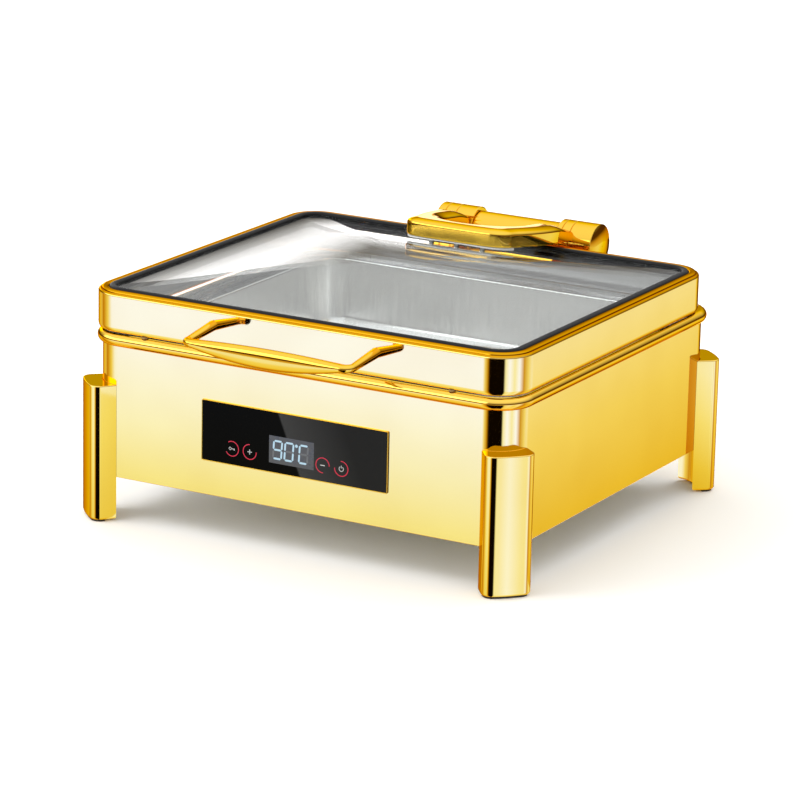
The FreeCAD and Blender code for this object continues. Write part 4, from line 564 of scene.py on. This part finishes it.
def vector(tree, x=0.0, y=0.0, z=0.0):
    return result(tree, "ShaderNodeCombineXYZ", [("X", x), ("Y", y), ("Z", z)])


def on_points(tree, points, piece):
    """A piece on every point, turned as the point's attribute says."""
    facing = add(tree, "GeometryNodeInputNamedAttribute", [("Name", "turn")], data_type="FLOAT_VECTOR")
    return result(tree, "GeometryNodeInstanceOnPoints", [
        ("Points", points), ("Instance", piece), ("Rotation", facing.outputs["Attribute"])])


def end_tree(tree, grown, given, last):
    """Every tree ends in Realize Instances and Set Material."""
    real = result(tree, "GeometryNodeRealizeInstances", [("Geometry", grown)])
    dressed = result(tree, "GeometryNodeSetMaterial", [("Geometry", real), ("Material", given["Finish"])])
    tree.links.new(dressed, last["Geometry"])


def grow(made, tree, sizes):
    """Run a tree on a piece, with sizes by the names of its inputs."""
    work = made.modifiers.new(tree.name, "NODES")
    work.node_group = tree
    sockets = {item.name: item.identifier for item in tree.interface.items_tree if item.in_out == "INPUT"}
    for label, setting in sizes.items():
        work[sockets[label]] = setting
    return evened(baked(made), 32)


screw_tree, given, last = new_tree("pan_head_screws", "Head Radius", "Head Height", "Shank Radius",
                                   "Shank Length")
ball = result(screw_tree, "GeometryNodeMeshUVSphere", [("Segments", 20), ("Rings", 10), ("Radius", 1.0)])
head_size = vector(screw_tree, given["Head Radius"], given["Head Radius"], given["Head Height"])
head = result(screw_tree, "GeometryNodeTransform", [("Geometry", ball), ("Scale", head_size)])
recess_long = calc(screw_tree, "MULTIPLY", given["Head Radius"], 1.1)
recess_wide = calc(screw_tree, "MULTIPLY", given["Head Radius"], 0.26)
recess_lift = vector(screw_tree, z=given["Head Height"])
recesses = []
for across, along in ((recess_long, recess_wide), (recess_wide, recess_long)):
    blade = vector(screw_tree, across, along, given["Head Height"])
    cube = result(screw_tree, "GeometryNodeMeshCube", [("Size", blade)])
    recesses.append(result(screw_tree, "GeometryNodeTransform", [
        ("Geometry", cube), ("Translation", recess_lift)]))
crossed_head = result(screw_tree, "GeometryNodeMeshBoolean", [("Mesh 1", head)] + [
    ("Mesh 2", recess) for recess in recesses], operation="DIFFERENCE")
rod = result(screw_tree, "GeometryNodeMeshCylinder", [
    ("Vertices", 16), ("Radius", given["Shank Radius"]), ("Depth", given["Shank Length"])])
rod_drop = vector(screw_tree, z=calc(screw_tree, "MULTIPLY", given["Shank Length"], -0.5))
shank = result(screw_tree, "GeometryNodeTransform", [("Geometry", rod), ("Translation", rod_drop)])
screw = result(screw_tree, "GeometryNodeJoinGeometry", [("Geometry", crossed_head), ("Geometry", shank)])
end_tree(screw_tree, on_points(screw_tree, given["Geometry"], screw), given, last)


def points_piece(name, places):
    """A mesh of loose points, each with its turn, for a tree to set pieces on."""
    mesh = mesh_of(name, [place for place, _ in places])
    turns = mesh.attributes.new("turn", "FLOAT_VECTOR", "POINT")
    for index, (_, turned) in enumerate(places):
        turns.data[index].vector = turned
    return new_object(name, mesh)


def solids_of(name):
    """The lowest and highest corners of each separate solid in a CAD node."""
    work = bmesh.new()
    work.from_mesh(node[name].data)
    bmesh.ops.remove_doubles(work, verts=work.verts, dist=1e-6)
    left, found = set(work.verts), []
    while left:
        group, fresh = set(), {left.pop()}
        while fresh:
            group |= fresh
            fresh = {edge.other_vert(vert) for vert in fresh for edge in vert.link_edges} - group
        left -= group
        found.append(tuple(Vector([pick(v.co[k] for v in group) for k in range(3)]) for pick in (min, max)))
    work.free()
    return sorted(found, key=lambda box: tuple(round(c, 5) for c in box[0]))


def screws(name, boxes, axis, side, tilt, shank_radius, shank_long, finish, source):
    """Screws where the CAD has them, heads out to one side along an axis: 1 y, 2 z."""
    head_radius, head_tall = in_mm(2.8, 1.4)
    places = []
    for low, high in boxes:
        middle = (low + high) / 2
        middle[axis] = (high if side > 0 else low)[axis] - side * head_tall
        places.append((middle, (tilt, 0, 0)))
    made = grow(points_piece(name, places), screw_tree, {
        "Head Radius": head_radius, "Head Height": head_tall, "Shank Radius": shank_radius,
        "Shank Length": shank_long, "Finish": finish})
    place_piece(made, "base", "steel", source)


screws("cover_screw_set", solids_of("cover_screws"), 2, -1, pi, 1.4 * mm, 5 * mm,
       surfaced("zinc_screw", 0.70, (0.55, 0.55, 0.56), 0.3, 1.0, size=0.002), "cover_screws")


# Control panel: a sheet of black glass in a rolled gold edge, bonded to the
# front. The display and four touch keys are printed and lit behind it.
panel_black = surfaced(
    "panel_black", (0.006, 0.006, 0.007), (0.004, 0.004, 0.005), 0.06, size=0.05, relief=0.0,
    more=[("Specular IOR Level", 0.03), ("Specular Tint", (1.0, 0.78, 0.32, 1))])

# A paler half beyond a slanting line is a painted reflection: it stands for what the dark glass mirrors.
painted_reflection_tree = panel_black.node_tree
line_lean, line_shift, line_sharp = 0.42, 0.0038, 8.0
spot = parted(painted_reflection_tree, place_in(painted_reflection_tree))
up_by = calc(painted_reflection_tree, "SUBTRACT", spot["Z"], (panel_low.z + panel_high.z) / 2)
painted_reflection_line = calc(painted_reflection_tree, "MULTIPLY_ADD", up_by, line_lean, calc(painted_reflection_tree, "ADD", spot["X"], line_shift))
painted_reflection_shade = ramp(painted_reflection_tree, calc(painted_reflection_tree, "MULTIPLY_ADD", painted_reflection_line, line_sharp, 0.5),
                   [(0.0, 0.0015), (0.49, 0.002), (0.505, 0.038), (1.0, 0.014)])
painted_reflection_tree.links.new(painted_reflection_shade, painted_reflection_tree.nodes["Principled BSDF"].inputs["Base Color"])
dress(panel_black, "touch_panel")
panel_front = panel_low.y
bezel_low, bezel_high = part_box("panel_bezel")


def edge_loop(inset, y):
    """A rectangle round the panel, at one distance from the front."""
    x0, x1 = bezel_low.x + inset, bezel_high.x - inset
    z0, z1 = bezel_low.z + inset, bezel_high.z - inset
    bend = max(1.6 * mm - inset, 0.3 * mm)
    return [(cx + bend * cos(angle), y, cz + bend * sin(angle))
            for start, cx, cz in ((-90, x1 - bend, z0 + bend), (0, x1 - bend, z1 - bend),
                                  (90, x0 + bend, z1 - bend), (180, x0 + bend, z0 + bend))
            for angle in arc(6, start, start + 90)]


bezel_wide = panel_low.x - bezel_low.x - 0.05 * mm
bezel_proud = min(0.7 * bezel_wide, bezel_high.y - bezel_low.y)
bezel_loops = [edge_loop(0, bezel_high.y)]
for angle in arc(8, 0, 180):
    bezel_loops.append(edge_loop(bezel_wide * (1 - cos(angle)) / 2,
                                 bezel_low.y + bezel_proud * (1 - sin(angle))))
bezel_loops.append(edge_loop(bezel_wide, bezel_high.y))
bezel_gold = surfaced("bezel_gold", (0.80, 0.50, 0.06), (0.74, 0.45, 0.05), 0.14, 1.0, size=0.02)
place_piece(skin("rolled_bezel", bezel_loops, bezel_gold, sharp=50), "base", "gold_steel", "panel_bezel")


def flat_piece(name, polygons, finish, lift=0.04 * mm, thick=0.03 * mm):
    """Thin print on the panel: polygons of (x, z), standing a hair proud."""
    points, faces = [], []
    for polygon in polygons:
        first, count = len(points), len(polygon)
        for y in (panel_front - lift, panel_front - lift + thick):
            points += [(x, y, z) for x, z in polygon]
        faces.append(tuple(first + k for k in range(count)))
        faces.append(tuple(first + count + k for k in reversed(range(count))))
        for k in range(count):
            nxt = (k + 1) % count
            faces.append((first + k, first + count + k, first + count + nxt, first + nxt))
    place_piece(finished(name, mesh_of(name, points, faces), finish), "base", "display_grey")


def lit(name, colour, power, base=0.1):
    """Print with a lamp behind it, a little uneven in its brightness."""
    return surfaced(name, base, tuple(0.8 * part for part in rgb(base)), 0.3, size=0.004, relief=0.0,
                    more=[("Emission Color", (*colour, 1)), ("Emission Strength", power)])


screen_low, screen_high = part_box("display_module")
screen_grey = lit("screen_grey", (0.22, 0.23, 0.24), 0.14, (0.035, 0.035, 0.037))
flat_piece("display_screen", [[(screen_low.x, screen_low.z), (screen_high.x, screen_low.z),
                               (screen_high.x, screen_high.z), (screen_low.x, screen_high.z)]],
           screen_grey, 0.03 * mm, 0.02 * mm)
dress(screen_grey, "display_module")

# Each bar of a digit: its middle as shares of the digit's size, and 1 where it stands.
bars = {"a": (0, 1, 0), "b": (0.5, 0.5, 1), "c": (0.5, -0.5, 1), "d": (0, -1, 0), "e": (-0.5, -0.5, 1),
        "f": (-0.5, 0.5, 1), "g": (0, 0, 0)}
digit_wide, digit_tall, bar, bar_gap = in_mm(8.0, 15.5, 1.7, 0.3)
slant = 0.06
screen_mid = (screen_low + screen_high) / 2
strokes = {True: [], False: []}
for middle, lit_bars in ((-13.6, "abcdfg"), (-2.4, "abcdef"), (11.8, "adef")):
    for letter, (px, pz, standing) in bars.items():
        half = (digit_tall / 2 if standing else digit_wide) / 2 - bar_gap
        tip = half - bar / 2
        shape = [(-half, 0), (-tip, -bar / 2), (tip, -bar / 2), (half, 0), (tip, bar / 2), (-tip, bar / 2)]
        corners = [(px * digit_wide + (-v if standing else u), pz * digit_tall / 2 + (u if standing else v))
                   for u, v in shape]
        strokes[letter in lit_bars].append([(screen_mid.x + middle * mm + u + slant * v, screen_mid.z + v)
                                            for u, v in corners])
degree_x, degree_z, degree_radius = screen_mid.x + 4.9 * mm, screen_mid.z + 6.4 * mm, 1.4 * mm
degree = [(degree_x + degree_radius * cos(angle), degree_z + degree_radius * sin(angle))
          for angle in arc(12, 0, 360)[:-1]]
flat_piece("display_digits", strokes[True] + [degree], lit("digit_blue", (0.42, 0.66, 0.80), 0.85),
           0.06 * mm, 0.025 * mm)
flat_piece("display_unlit_bars", strokes[False], lit("digit_ghost", (0.30, 0.32, 0.34), 0.28, 0.04),
           0.05 * mm, 0.015 * mm)

# Round each key an open ring: the place of the key, and where its gap begins.
lock_x, plus_x, minus_x, power_x = -60.6, -43.0, 28.8, 47.0
key_gaps = [(lock_x, -150), (plus_x, 90), (minus_x, 0), (power_x, 180)]
key_z = body_low + 45.4 * mm
ring_tree, given, last = new_tree("key_rings", "Ring Radius", "Line", "Sweep")
curve = result(ring_tree, "GeometryNodeCurveArc", [
    ("Resolution", 48), ("Radius", given["Ring Radius"]), ("Sweep Angle", given["Sweep"])], mode="RADIUS")
stroke = result(ring_tree, "GeometryNodeCurvePrimitiveQuadrilateral", [
    ("Width", given["Line"]), ("Height", 0.03 * mm)])
band = result(ring_tree, "GeometryNodeCurveToMesh", [
    ("Curve", curve), ("Profile Curve", stroke), ("Fill Caps", True)])
end_tree(ring_tree, on_points(ring_tree, given["Geometry"], band), given, last)
rings = points_piece("key_rings", [
    ((x * mm, panel_front - 0.04 * mm, key_z), (pi / 2, -radians(gap), 0)) for x, gap in key_gaps])
grow(rings, ring_tree, {"Ring Radius": 6.5 * mm, "Line": 0.75 * mm, "Sweep": radians(275),
                        "Finish": lit("ring_red", (0.52, 0.0, 0.025), 0.85, (0.2, 0.005, 0.015))})
place_piece(rings, "base", "display_grey")


def bar_shape(x0, z0, x1, z1, wide):
    """A straight stroke between two points."""
    length = hypot(x1 - x0, z1 - z0)
    u, v = -(z1 - z0) / length * wide / 2, (x1 - x0) / length * wide / 2
    return [(x0 - u, z0 - v), (x1 - u, z1 - v), (x1 + u, z1 + v), (x0 + u, z0 + v)]


def ring_shape(x, z, radius, wide, start=0, end=360):
    """An arc of small four-cornered strokes."""
    near, far, ends = radius - wide / 2, radius + wide / 2, arc(20, start, end)
    return [[(x + r * cos(a), z + r * sin(a))
             for r, a in ((near, first), (far, first), (far, then), (near, then))]
            for first, then in zip(ends, ends[1:])]


signs = [(plus_x, [bar_shape(-2.2, 0, 2.2, 0, 0.7), bar_shape(0, -2.2, 0, 2.2, 0.7)]),
         (minus_x, [bar_shape(-2.2, 0, 2.2, 0, 0.8)]),
         (power_x, ring_shape(0, -0.2, 2.1, 0.6, 120, 420) + [bar_shape(0, 0.4, 0, 2.8, 0.6)]),
         (lock_x, ring_shape(-1.8, 0, 1.1, 0.5) + [
             bar_shape(-0.7, 0, 2.8, 0, 0.55), bar_shape(2.5, 0, 2.5, -1.3, 0.5),
             bar_shape(1.4, 0, 1.4, -1.0, 0.5)])]
flat_piece("key_signs", [[((x + key_x) * mm, key_z + z * mm) for x, z in shape]
                         for key_x, shapes in signs for shape in shapes],
           lit("sign_white", (0.60, 0.60, 0.58), 0.45, 0.25))


# Behind the panel: the housing of black moulding, the board on brass posts,
# and a plated spring under each key. They are seen with the cover off.
black = surfaced("black_moulding", (0.045, 0.045, 0.048), (0.028, 0.028, 0.03), 0.5, size=0.0008, relief=0.4,
                 deep=0.0001)
board_green = surfaced("board_green", (0.03, 0.17, 0.07), (0.01, 0.09, 0.035), 0.35, size=0.004,
                       grain=(1, 3, 3), detail=1.0)
brass = surfaced("pin_brass", (0.80, 0.60, 0.28), (0.68, 0.48, 0.2), 0.3, 1.0, size=0.002)
plated = surfaced("plated_steel", (0.68, 0.68, 0.69), (0.5, 0.5, 0.51), 0.34, 1.0, size=0.004)
sleeve = surfaced("lead_sleeve", 0.24, 0.17, 0.6, size=0.002, relief=0.3)
dress(black, "control_housing")
dress(board_green, "control_board")
dress(brass, "board_standoffs")
dress(plated, "touch_springs", "board_screws")
dress(sleeve, "ribbon_cable")


# Heater: an aluminium plate cast under the bath, with a bent sheathed rod
# clamped to it, a sprung sensor, a cutout, a heat shield and the steel bridges.
dress(surfaced("heater_aluminium", 0.66, 0.5, 0.45, 1.0, size=0.003, relief=0.3), "heating_plate",
      "temperature_sensor")
dress(surfaced("element_sheath", (0.42, 0.40, 0.37), (0.25, 0.23, 0.21), 0.4, 1.0, size=0.01),
      "heating_element")
dress(plated, "element_clamps", "heat_shield", "heater_bridges", "sensor_spring", "plate_fasteners")
dress(black, "thermal_cutout")
dress(sleeve, "heater_leads")


# Supply: the inlet with its pins, the power board with its relay and its
# transformer, the terminal block and the leads. Two screws hold the inlet.
dress(black, "power_inlet", "terminal_block", "power_relay", "transformer")
dress(board_green, "power_board")
dress(brass, "inlet_pins")
dress(sleeve, "power_leads")
dress(plated, "leg_screws", "handle_screws", "bracket_screws", "clamp_screws", "backing_plate")
screws("inlet_screw_pair", [box for box in solids_of("inlet_fasteners") if box[1].y > shell_high.y], 1, 1,
       -pi / 2, 1.45 * mm, 7.5 * mm, surfaced("screw_steel", 0.62, 0.48, 0.28, 1.0, size=0.002),
       "inlet_fasteners")


# Lid frame: a drawn skirt whose top rolls over a shoulder and a groove to a
# crest, then steps down to the shelf for the seal. Gold outside, with a darker orange gold on the crest's
# top as painted shade; bare steel inside, darkened as painted shade.
skirt_low, crest = lid_low.z, lid_high.z
lid_half_x, lid_half_y, lid_corner = lid_high.x, (lid_high.y - lid_low.y) / 2, 31.5 * mm


def lid_loop(inset, z):
    corner = max(lid_corner - inset, 1 * mm)
    return outline(lid_half_x - inset, lid_half_y - inset, corner, lid_mid_y, z)


def swept(name, section, finish):
    """A ring on the lid from its section, in mm in from the edge and over the crest."""
    return skin(name, [lid_loop(inset * mm, crest + lift * mm) for inset, lift in section], finish)


def in_lid(spot):
    return within(spot, lid_half_x, lid_half_y, lid_corner)


ridge_in, ridge_foot, ridge_wide, ridge_tall = 2.8, -0.6, 6.4, 0.7
lid_section = [(2.4, -35.4), (1.4, -35.0), (0.7, -34.1), (0.2, -32.6), (0, -30.9)]
lid_section += [(2.4 * (1 - cos(angle)), -3.6 + 2.4 * sin(angle)) for angle in arc(8)]
lid_section += [(2.6, -1.6), (2.75, -1.0)]
lid_section += [(ridge_in + ridge_wide * (1 - cos(angle)) / 2,
                 ridge_foot + (ridge_tall - ridge_foot) * sin(angle)) for angle in arc(12, 0, 180)]
lid_section += [(9.3, -1.4), (9.3, -7.5), (15, -7.5), (15, -8.7), (3.3, -8.7), (3.3, -4.6), (1.2, -5.4),
                (1.2, -30.7), (1.8, -33.4), (3.0, -34.4)]
lid_shell = swept("lid_shell", lid_section, gold("lid_gold"))
# The crest's top takes a darker orange copy of the gold: painted shade.
second_finish(lid_shell, gold("crest_gold_painted_shade", red=0.66, green=0.33, blue=0.01),
              lambda spot: spot.z > crest - 2.9 * mm and in_lid(spot) > 0.25 * mm)
# The inner face of the skirt takes the same darkened bare steel: painted shade.
second_finish(lid_shell, bare_steel_painted_shade,
              lambda spot: skirt_low + 1.5 * mm < spot.z < crest - 4 * mm and in_lid(spot) > 0.9 * mm)
place_piece(lid_shell, "lid", "gold_steel", "lid_frame")


# Seal: a black silicone channel pressed into the frame. It grips the glass.
# Small silicone bumpers under the frame let the lid down softly.
silicone = surfaced("black_silicone", (0.010, 0.010, 0.011), (0.006, 0.006, 0.007), 0.45, size=0.002,
                    relief=0.2, deep=0.0001, more=[("Specular IOR Level", 0.16)])
seal_section = [(9.35, -7.5), (16, -7.5), (16, -6.35), (12.2, -6.35), (12.2, -1.05), (16, -1.05), (16, -0.5)]
seal_section += [(12.7 + 3.3 * cos(angle), -0.7 + 2.3 * sin(angle)) for angle in arc(12, 0, 180)]
seal_section.append((9.35, -1.0))
place_piece(swept("glass_seal", seal_section, silicone), "lid", "silicone_black", "lid_seal")
dress(surfaced("amber_silicone", (0.34, 0.20, 0.05), (0.26, 0.15, 0.04), 0.45, size=0.002), "lid_bumpers")


# Glass: toughened, 4 mm, bent to a low dome that is level round its edge. A
# pair of flat sheets is raised to the dome's rule.
clear, pane = bare_material("lid_clear")
through = result(pane, "ShaderNodeBsdfTransparent", [("Color", (0.95, 0.965, 0.965, 1))])
mirror = result(pane, "ShaderNodeBsdfGlossy", [("Color", (1, 1, 1, 1)), ("Roughness", 0.02)])
facing = add(pane, "ShaderNodeLayerWeight", [("Blend", 0.5)]).outputs["Facing"]
edge_on = calc(pane, "MULTIPLY_ADD", calc(pane, "POWER", facing, 5.0), 0.9, 0.035)
show(pane, result(pane, "ShaderNodeMixShader", [("Fac", edge_on), (1, through), (2, mirror)]))
glass_thick, dome_rise, level_x, level_y = in_mm(4, 20.5, 194, 169.25)
glass_level = crest - 1.2 * mm
glass_sizes = [length - 12.3 * mm for length in (lid_half_x, lid_half_y, lid_corner)]

dome_tree, given, last = new_tree("glass_dome", "Rise", "Level X", "Level Y", "Middle Y")
where = parted(dome_tree, result(dome_tree, "GeometryNodeInputPosition"))
from_middle = calc(dome_tree, "SUBTRACT", where["Y"], given["Middle Y"])
falls = []
for place, reach in ((where["X"], given["Level X"]), (from_middle, given["Level Y"])):
    share = calc(dome_tree, "ABSOLUTE", calc(dome_tree, "DIVIDE", place, reach))
    falls.append(calc(dome_tree, "SUBTRACT", 1.0, calc(dome_tree, "POWER", share, 2.0)))
lift = calc(dome_tree, "MULTIPLY", given["Rise"], calc(dome_tree, "MULTIPLY", *falls))
raised = result(dome_tree, "GeometryNodeSetPosition", [
    ("Geometry", given["Geometry"]), ("Offset", vector(dome_tree, z=lift))])
end_tree(dome_tree, raised, given, last)

shares = [1 - k / 40 for k in range(40)]
levels = [(share, glass_level) for share in shares[::-1]]
levels += [(share, glass_level - glass_thick) for share in shares]
glass_loops = [outline(*(length * share for length in glass_sizes), lid_mid_y, z) for share, z in levels]
glass = skin("dome_glass", glass_loops, clear, capped=True)
grow(glass, dome_tree, {"Rise": dome_rise, "Level X": level_x, "Level Y": level_y, "Middle Y": lid_mid_y,
                        "Finish": clear})
place_piece(glass, "lid", "clear_glass", "lid_glass")


# Handle: a cast bow, its bar a lens seen from the front, its arms bent back
# round both ends and screwed on from inside the skirt. It comes in three meshes.
cast_gold = gold("cast_gold", red=0.88, green=0.56, blue=0.07)
tip_half, tip_deep, bar_half, bar_deep, root_half, bow_bend = in_mm(3.47, 3.3, 8.8, 5, 4.6, 7)
arm_x, tip_z, root_z, bar_mid = in_mm(79.4, 186.64, 191.1, 183.5)
bow_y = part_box("lid_handle")[0].y + bar_deep
root_y, bend_y = lid_low.y + 1 * mm, bow_y + bow_bend


def bow_station(place, ahead, half_across, half_tall, z, rounding, count=28):
    """A section across the bow at a place in plan, square to the way ahead."""
    side = Vector((ahead[1], -ahead[0])).normalized()
    points = []
    for k in range(count):
        angle = tau * k / count
        u, v = [copysign(abs(part) ** (2 / rounding), part) for part in (cos(angle), sin(angle))]
        points.append((place[0] + side.x * u * half_across, place[1] + side.y * u * half_across,
                       z + v * half_tall))
    return points


half_bow = []
for step in range(9):
    share = step / 8
    half_bow.append(((arm_x, root_y + share * (bend_y - root_y)), (0, -1),
                     root_half + share * (tip_deep - root_half), root_half + share * (tip_half - root_half),
                     root_z + share * (tip_z - root_z), 2.0))
for step, angle in list(enumerate(arc(8)))[1:]:
    share = step / 8
    half_bow.append(((arm_x - bow_bend + bow_bend * cos(angle), bend_y - bow_bend * sin(angle)),
                     (-sin(angle), -cos(angle)), tip_deep + share * (bar_deep - tip_deep), tip_half,
                     tip_z, 2.0 + 0.5 * share))
for step in range(1, 21):
    share = step / 20
    swell = 1 - (1 - share) ** 2
    half_bow.append((((arm_x - bow_bend) * (1 - share), bow_y), (-1, 0), bar_deep,
                     tip_half + (bar_half - tip_half) * swell, tip_z + (bar_mid - tip_z) * swell, 2.5))
other_half = [((-place[0], place[1]), (ahead[0], -ahead[1]), *rest)
              for place, ahead, *rest in reversed(half_bow[:-1])]
stations = [bow_station(*station) for station in half_bow + other_half]
arm_end = 17
for name, part, nodes in (("handle_bar", stations[arm_end - 1:-arm_end + 1], ["lid_handle"]),
                          ("handle_arm_right", stations[:arm_end], []),
                          ("handle_arm_left", stations[-arm_end:], [])):
    place_piece(skin(name, part, cast_gold, capped=True, sharp=60), "lid", "gold_steel", *nodes)

# The bar is left out of mirror images, where the skirt would show it as a dark lens.
bpy.data.objects["handle_bar"].visible_glossy = False


# Hinge arm: one casting with a broad nose over the glass, two limbs round an
# open window, and a barrel at the end of each. Ground, polished and gold coated.
pin_low, pin_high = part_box("hinge_pin")
axis_y, axis_z = (pin_low.y + pin_high.y) / 2, (pin_low.z + pin_high.z) / 2
arm_long = 135 * mm
arm_front, window_front = axis_y - arm_long, axis_y - 112 * mm
arm_base, arm_thick, nose_half, waist_half, tail_half, nose_bow, nose_corner = in_mm(
    220.5, 16.5, 46, 63, 61, 1.5, 20)
window_half, window_tail_half, window_flare, limb_edge = in_mm(37, 43.5, 24, 0.6)
limb_end, fall_from = axis_y - 14 * mm, axis_y - 54 * mm
arm_slope, fall_left = 0.122, 0.55


def side_half(y):
    """Half the arm's width at a distance back: a curve through nose, waist and tail."""
    waist_y = arm_front + 0.46 * arm_long
    (y0, w0), (y1, w1), (y2, w2) = (arm_front, nose_half), (waist_y, waist_half), (limb_end, tail_half)
    return (w0 * (y - y1) * (y - y2) / ((y0 - y1) * (y0 - y2)) +
            w1 * (y - y0) * (y - y2) / ((y1 - y0) * (y1 - y2)) +
            w2 * (y - y0) * (y - y1) / ((y2 - y0) * (y2 - y1)))


def eased(y, start, end):
    """A smooth step from 0 to 1 between two distances back."""
    share = min(max((y - start) / (end - start), 0), 1)
    return share * share * (3 - 2 * share)


def window_side(y):
    """Half the window's width: it flares to clear the fixed tube."""
    return window_half + (window_tail_half - window_half) * eased(y, limb_end - window_flare, limb_end)


# The right half of the plan, as (x, y, whether at the window), from the nose
# round the outside and back up the window.
window_bend_y = window_front + window_half
right_half = [(0.0, arm_front - nose_bow, False)]
for step in range(1, 8):
    x = (nose_half - nose_corner) * step / 7
    right_half.append((x, arm_front - nose_bow * (1 - (x / nose_half) ** 2), False))
for angle in arc(8)[1:]:
    right_half.append((side_half(arm_front + nose_corner) - nose_corner + nose_corner * sin(angle),
                       arm_front + nose_corner - nose_corner * cos(angle), False))
for step in range(1, 17):
    y = arm_front + nose_corner + (limb_end - arm_front - nose_corner) * step / 16
    right_half.append((side_half(y), y, False))
for step in range(17):
    y = limb_end + (window_bend_y - limb_end) * step / 16
    right_half.append((window_side(y), y, True))
for angle in arc(12)[1:]:
    right_half.append((window_half * cos(angle), window_bend_y - window_half * sin(angle), True))
plan = right_half + [(-x, y, at_window) for x, y, at_window in reversed(right_half[1:-1])]

# For each point of the plan, the way into the metal.
into = []
for index, (x, y, _) in enumerate(plan):
    before, after = plan[index - 1], plan[(index + 1) % len(plan)]
    way = Vector((after[0] - before[0], after[1] - before[1])).normalized()
    if y == limb_end:
        way = Vector((0, 1 if (x > window_half or -window_half <= x < 0) else -1))
    into.append(Vector((-way.y, way.x)))


def arm_loop(inset, lift):
    """The plan drawn in all round, at a lift over the tilted base."""
    points = []
    for (x, y, _), way in zip(plan, into):
        reach = inset
        if y > window_bend_y:
            reach = min(reach, (side_half(y) - window_side(y)) / 2 - limb_edge)
        px, py = x + way.x * reach, y + way.y * reach
        kept = 1 - (1 - fall_left) * eased(py, fall_from, limb_end)
        points.append((px, py, arm_base - arm_slope * (py - arm_front) + lift * kept))
    return points


edge_round, crown_wide, crown_drop = in_mm(4, 8, 2)
crown_tilt = atan(2 * crown_drop / crown_wide)
edge_in = edge_round * (1 - sin(crown_tilt))
arm_loops = [arm_loop(2.5 * mm, 0), arm_loop(0.8 * mm, 0.4 * mm), arm_loop(0, 2 * mm)]
for step in range(7):
    angle = (pi / 2 - crown_tilt) * step / 6
    lift = arm_thick - crown_drop - edge_round * (cos(crown_tilt) - sin(angle))
    arm_loops.append(arm_loop(edge_round * (1 - cos(angle)), lift))
for step in range(1, 9):
    share = step / 8
    arm_loops.append(arm_loop(edge_in + crown_wide * share, arm_thick - crown_drop * (1 - share) ** 2))
place_piece(skin("yoke_arm", arm_loops, cast_gold, capped=True, sharp=40), "lid", "gold_steel", "hinge_arm")


def pad_loop(inset, on_top):
    """The pad between the nose and the glass, on the dome or under the arm's flat."""
    points, gap = [], 0.15 * mm
    for x, y in [(x, y) for x, y, at_window in plan if not at_window and y < window_front]:
        px, py = x * (1 - inset / nose_half), y + (inset if y < arm_front + nose_corner / 2 else 0)
        dome = dome_rise * (1 - (px / level_x) ** 2) * (1 - ((py - lid_mid_y) / level_y) ** 2)
        under_arm = arm_base - arm_slope * (py - arm_front) - gap
        points.append((px, py, under_arm if on_top else glass_level + dome + gap))
    return points


pad_inset = 0.7 * mm
pad_finish = surfaced("clear_silicone", (0.72, 0.72, 0.70), (0.6, 0.6, 0.58), 0.35, size=0.002)
pad_loops = [pad_loop(pad_inset, on_top) for on_top in (False, True)]
place_piece(skin("nose_pad", pad_loops, pad_finish, capped=True), "lid", "silicone_black", "arm_gasket")


def turned(name, section, side, finish, count=64):
    """A turned piece round the hinge axis: section of (distance out, radius) in mm."""
    loops = [[(side * out * mm, axis_y + radius * mm * cos(tau * k / count),
               axis_z + radius * mm * sin(tau * k / count)) for k in range(count)]
             for out, radius in section]
    return skin(name, loops, finish, sharp=36)


barrel_radius, bore_radius, damper_radius, barrel_end, cap_foot, cap_rise = 20.25, 8, 15.2, 80, 80.6, 2.8
groove = [(-0.8, 0), (-0.4, 0.4), (0, 1.2), (0.4, 0.4), (0.8, 0)]
for side, name, rings_at in ((1, "right", (48.8, 57.6)), (-1, "left", (61.8, 73.0))):
    section = [(43, bore_radius), (43, barrel_radius - 1), (44, barrel_radius)]
    section += [(at + along, barrel_radius - deep) for at in rings_at for along, deep in groove]
    section += [(79.6, barrel_radius), (barrel_end, barrel_radius - 0.3), (barrel_end, damper_radius),
                (46.5, damper_radius), (46.5, bore_radius)]
    place_piece(turned("hinge_barrel_" + name, section, side, cast_gold), "lid", "gold_steel")
    cap_section = [(80.05, 0.3), (80.05, barrel_radius - 0.3), (80.3, barrel_radius),
                   (cap_foot, barrel_radius - 0.1)]
    for step in range(1, 15):
        share = 1 - step / 15
        cap_section.append((cap_foot + cap_rise * (1 - share ** 2.4), (barrel_radius - 0.4) * share + 0.3))
    cap_section.append((cap_foot + cap_rise, 0.3))
    cap = turned("domed_cap_" + name, cap_section, side, cast_gold)
    place_piece(cap, "lid", "gold_steel", "barrel_cap_" + name)


# Hinge bracket: a cast column that carries a fixed tube between the barrels,
# bolted to the back of the body. The pin, its washers and two dampers turn in it.
stand = finished("hinge_stand", node["hinge_bracket"].data.copy(), cast_gold, merge=1e-6, flat=0.3)
place_piece(stand, "base", "gold_steel", "hinge_bracket")
dress(surfaced("pin_steel", 0.72, 0.6, 0.2, 1.0, size=0.004, grain=(0.1, 1, 1)), "hinge_pin", "pin_washers")
dress(black, "damper_left", "damper_right")


# Clamp: three screws go up through a small steel plate and the drilled glass
# into the arm's nose, with a silicone gasket between the plate and the glass.
dress(surfaced("clamp_silicone", (0.62, 0.62, 0.60), (0.5, 0.5, 0.48), 0.35, size=0.002), "clamp_gasket")
dress(surfaced("bright_steel", (0.86, 0.86, 0.85), (0.8, 0.8, 0.79), 0.16, 1.0, size=0.003), "clamp_plate",
      "arm_screws")
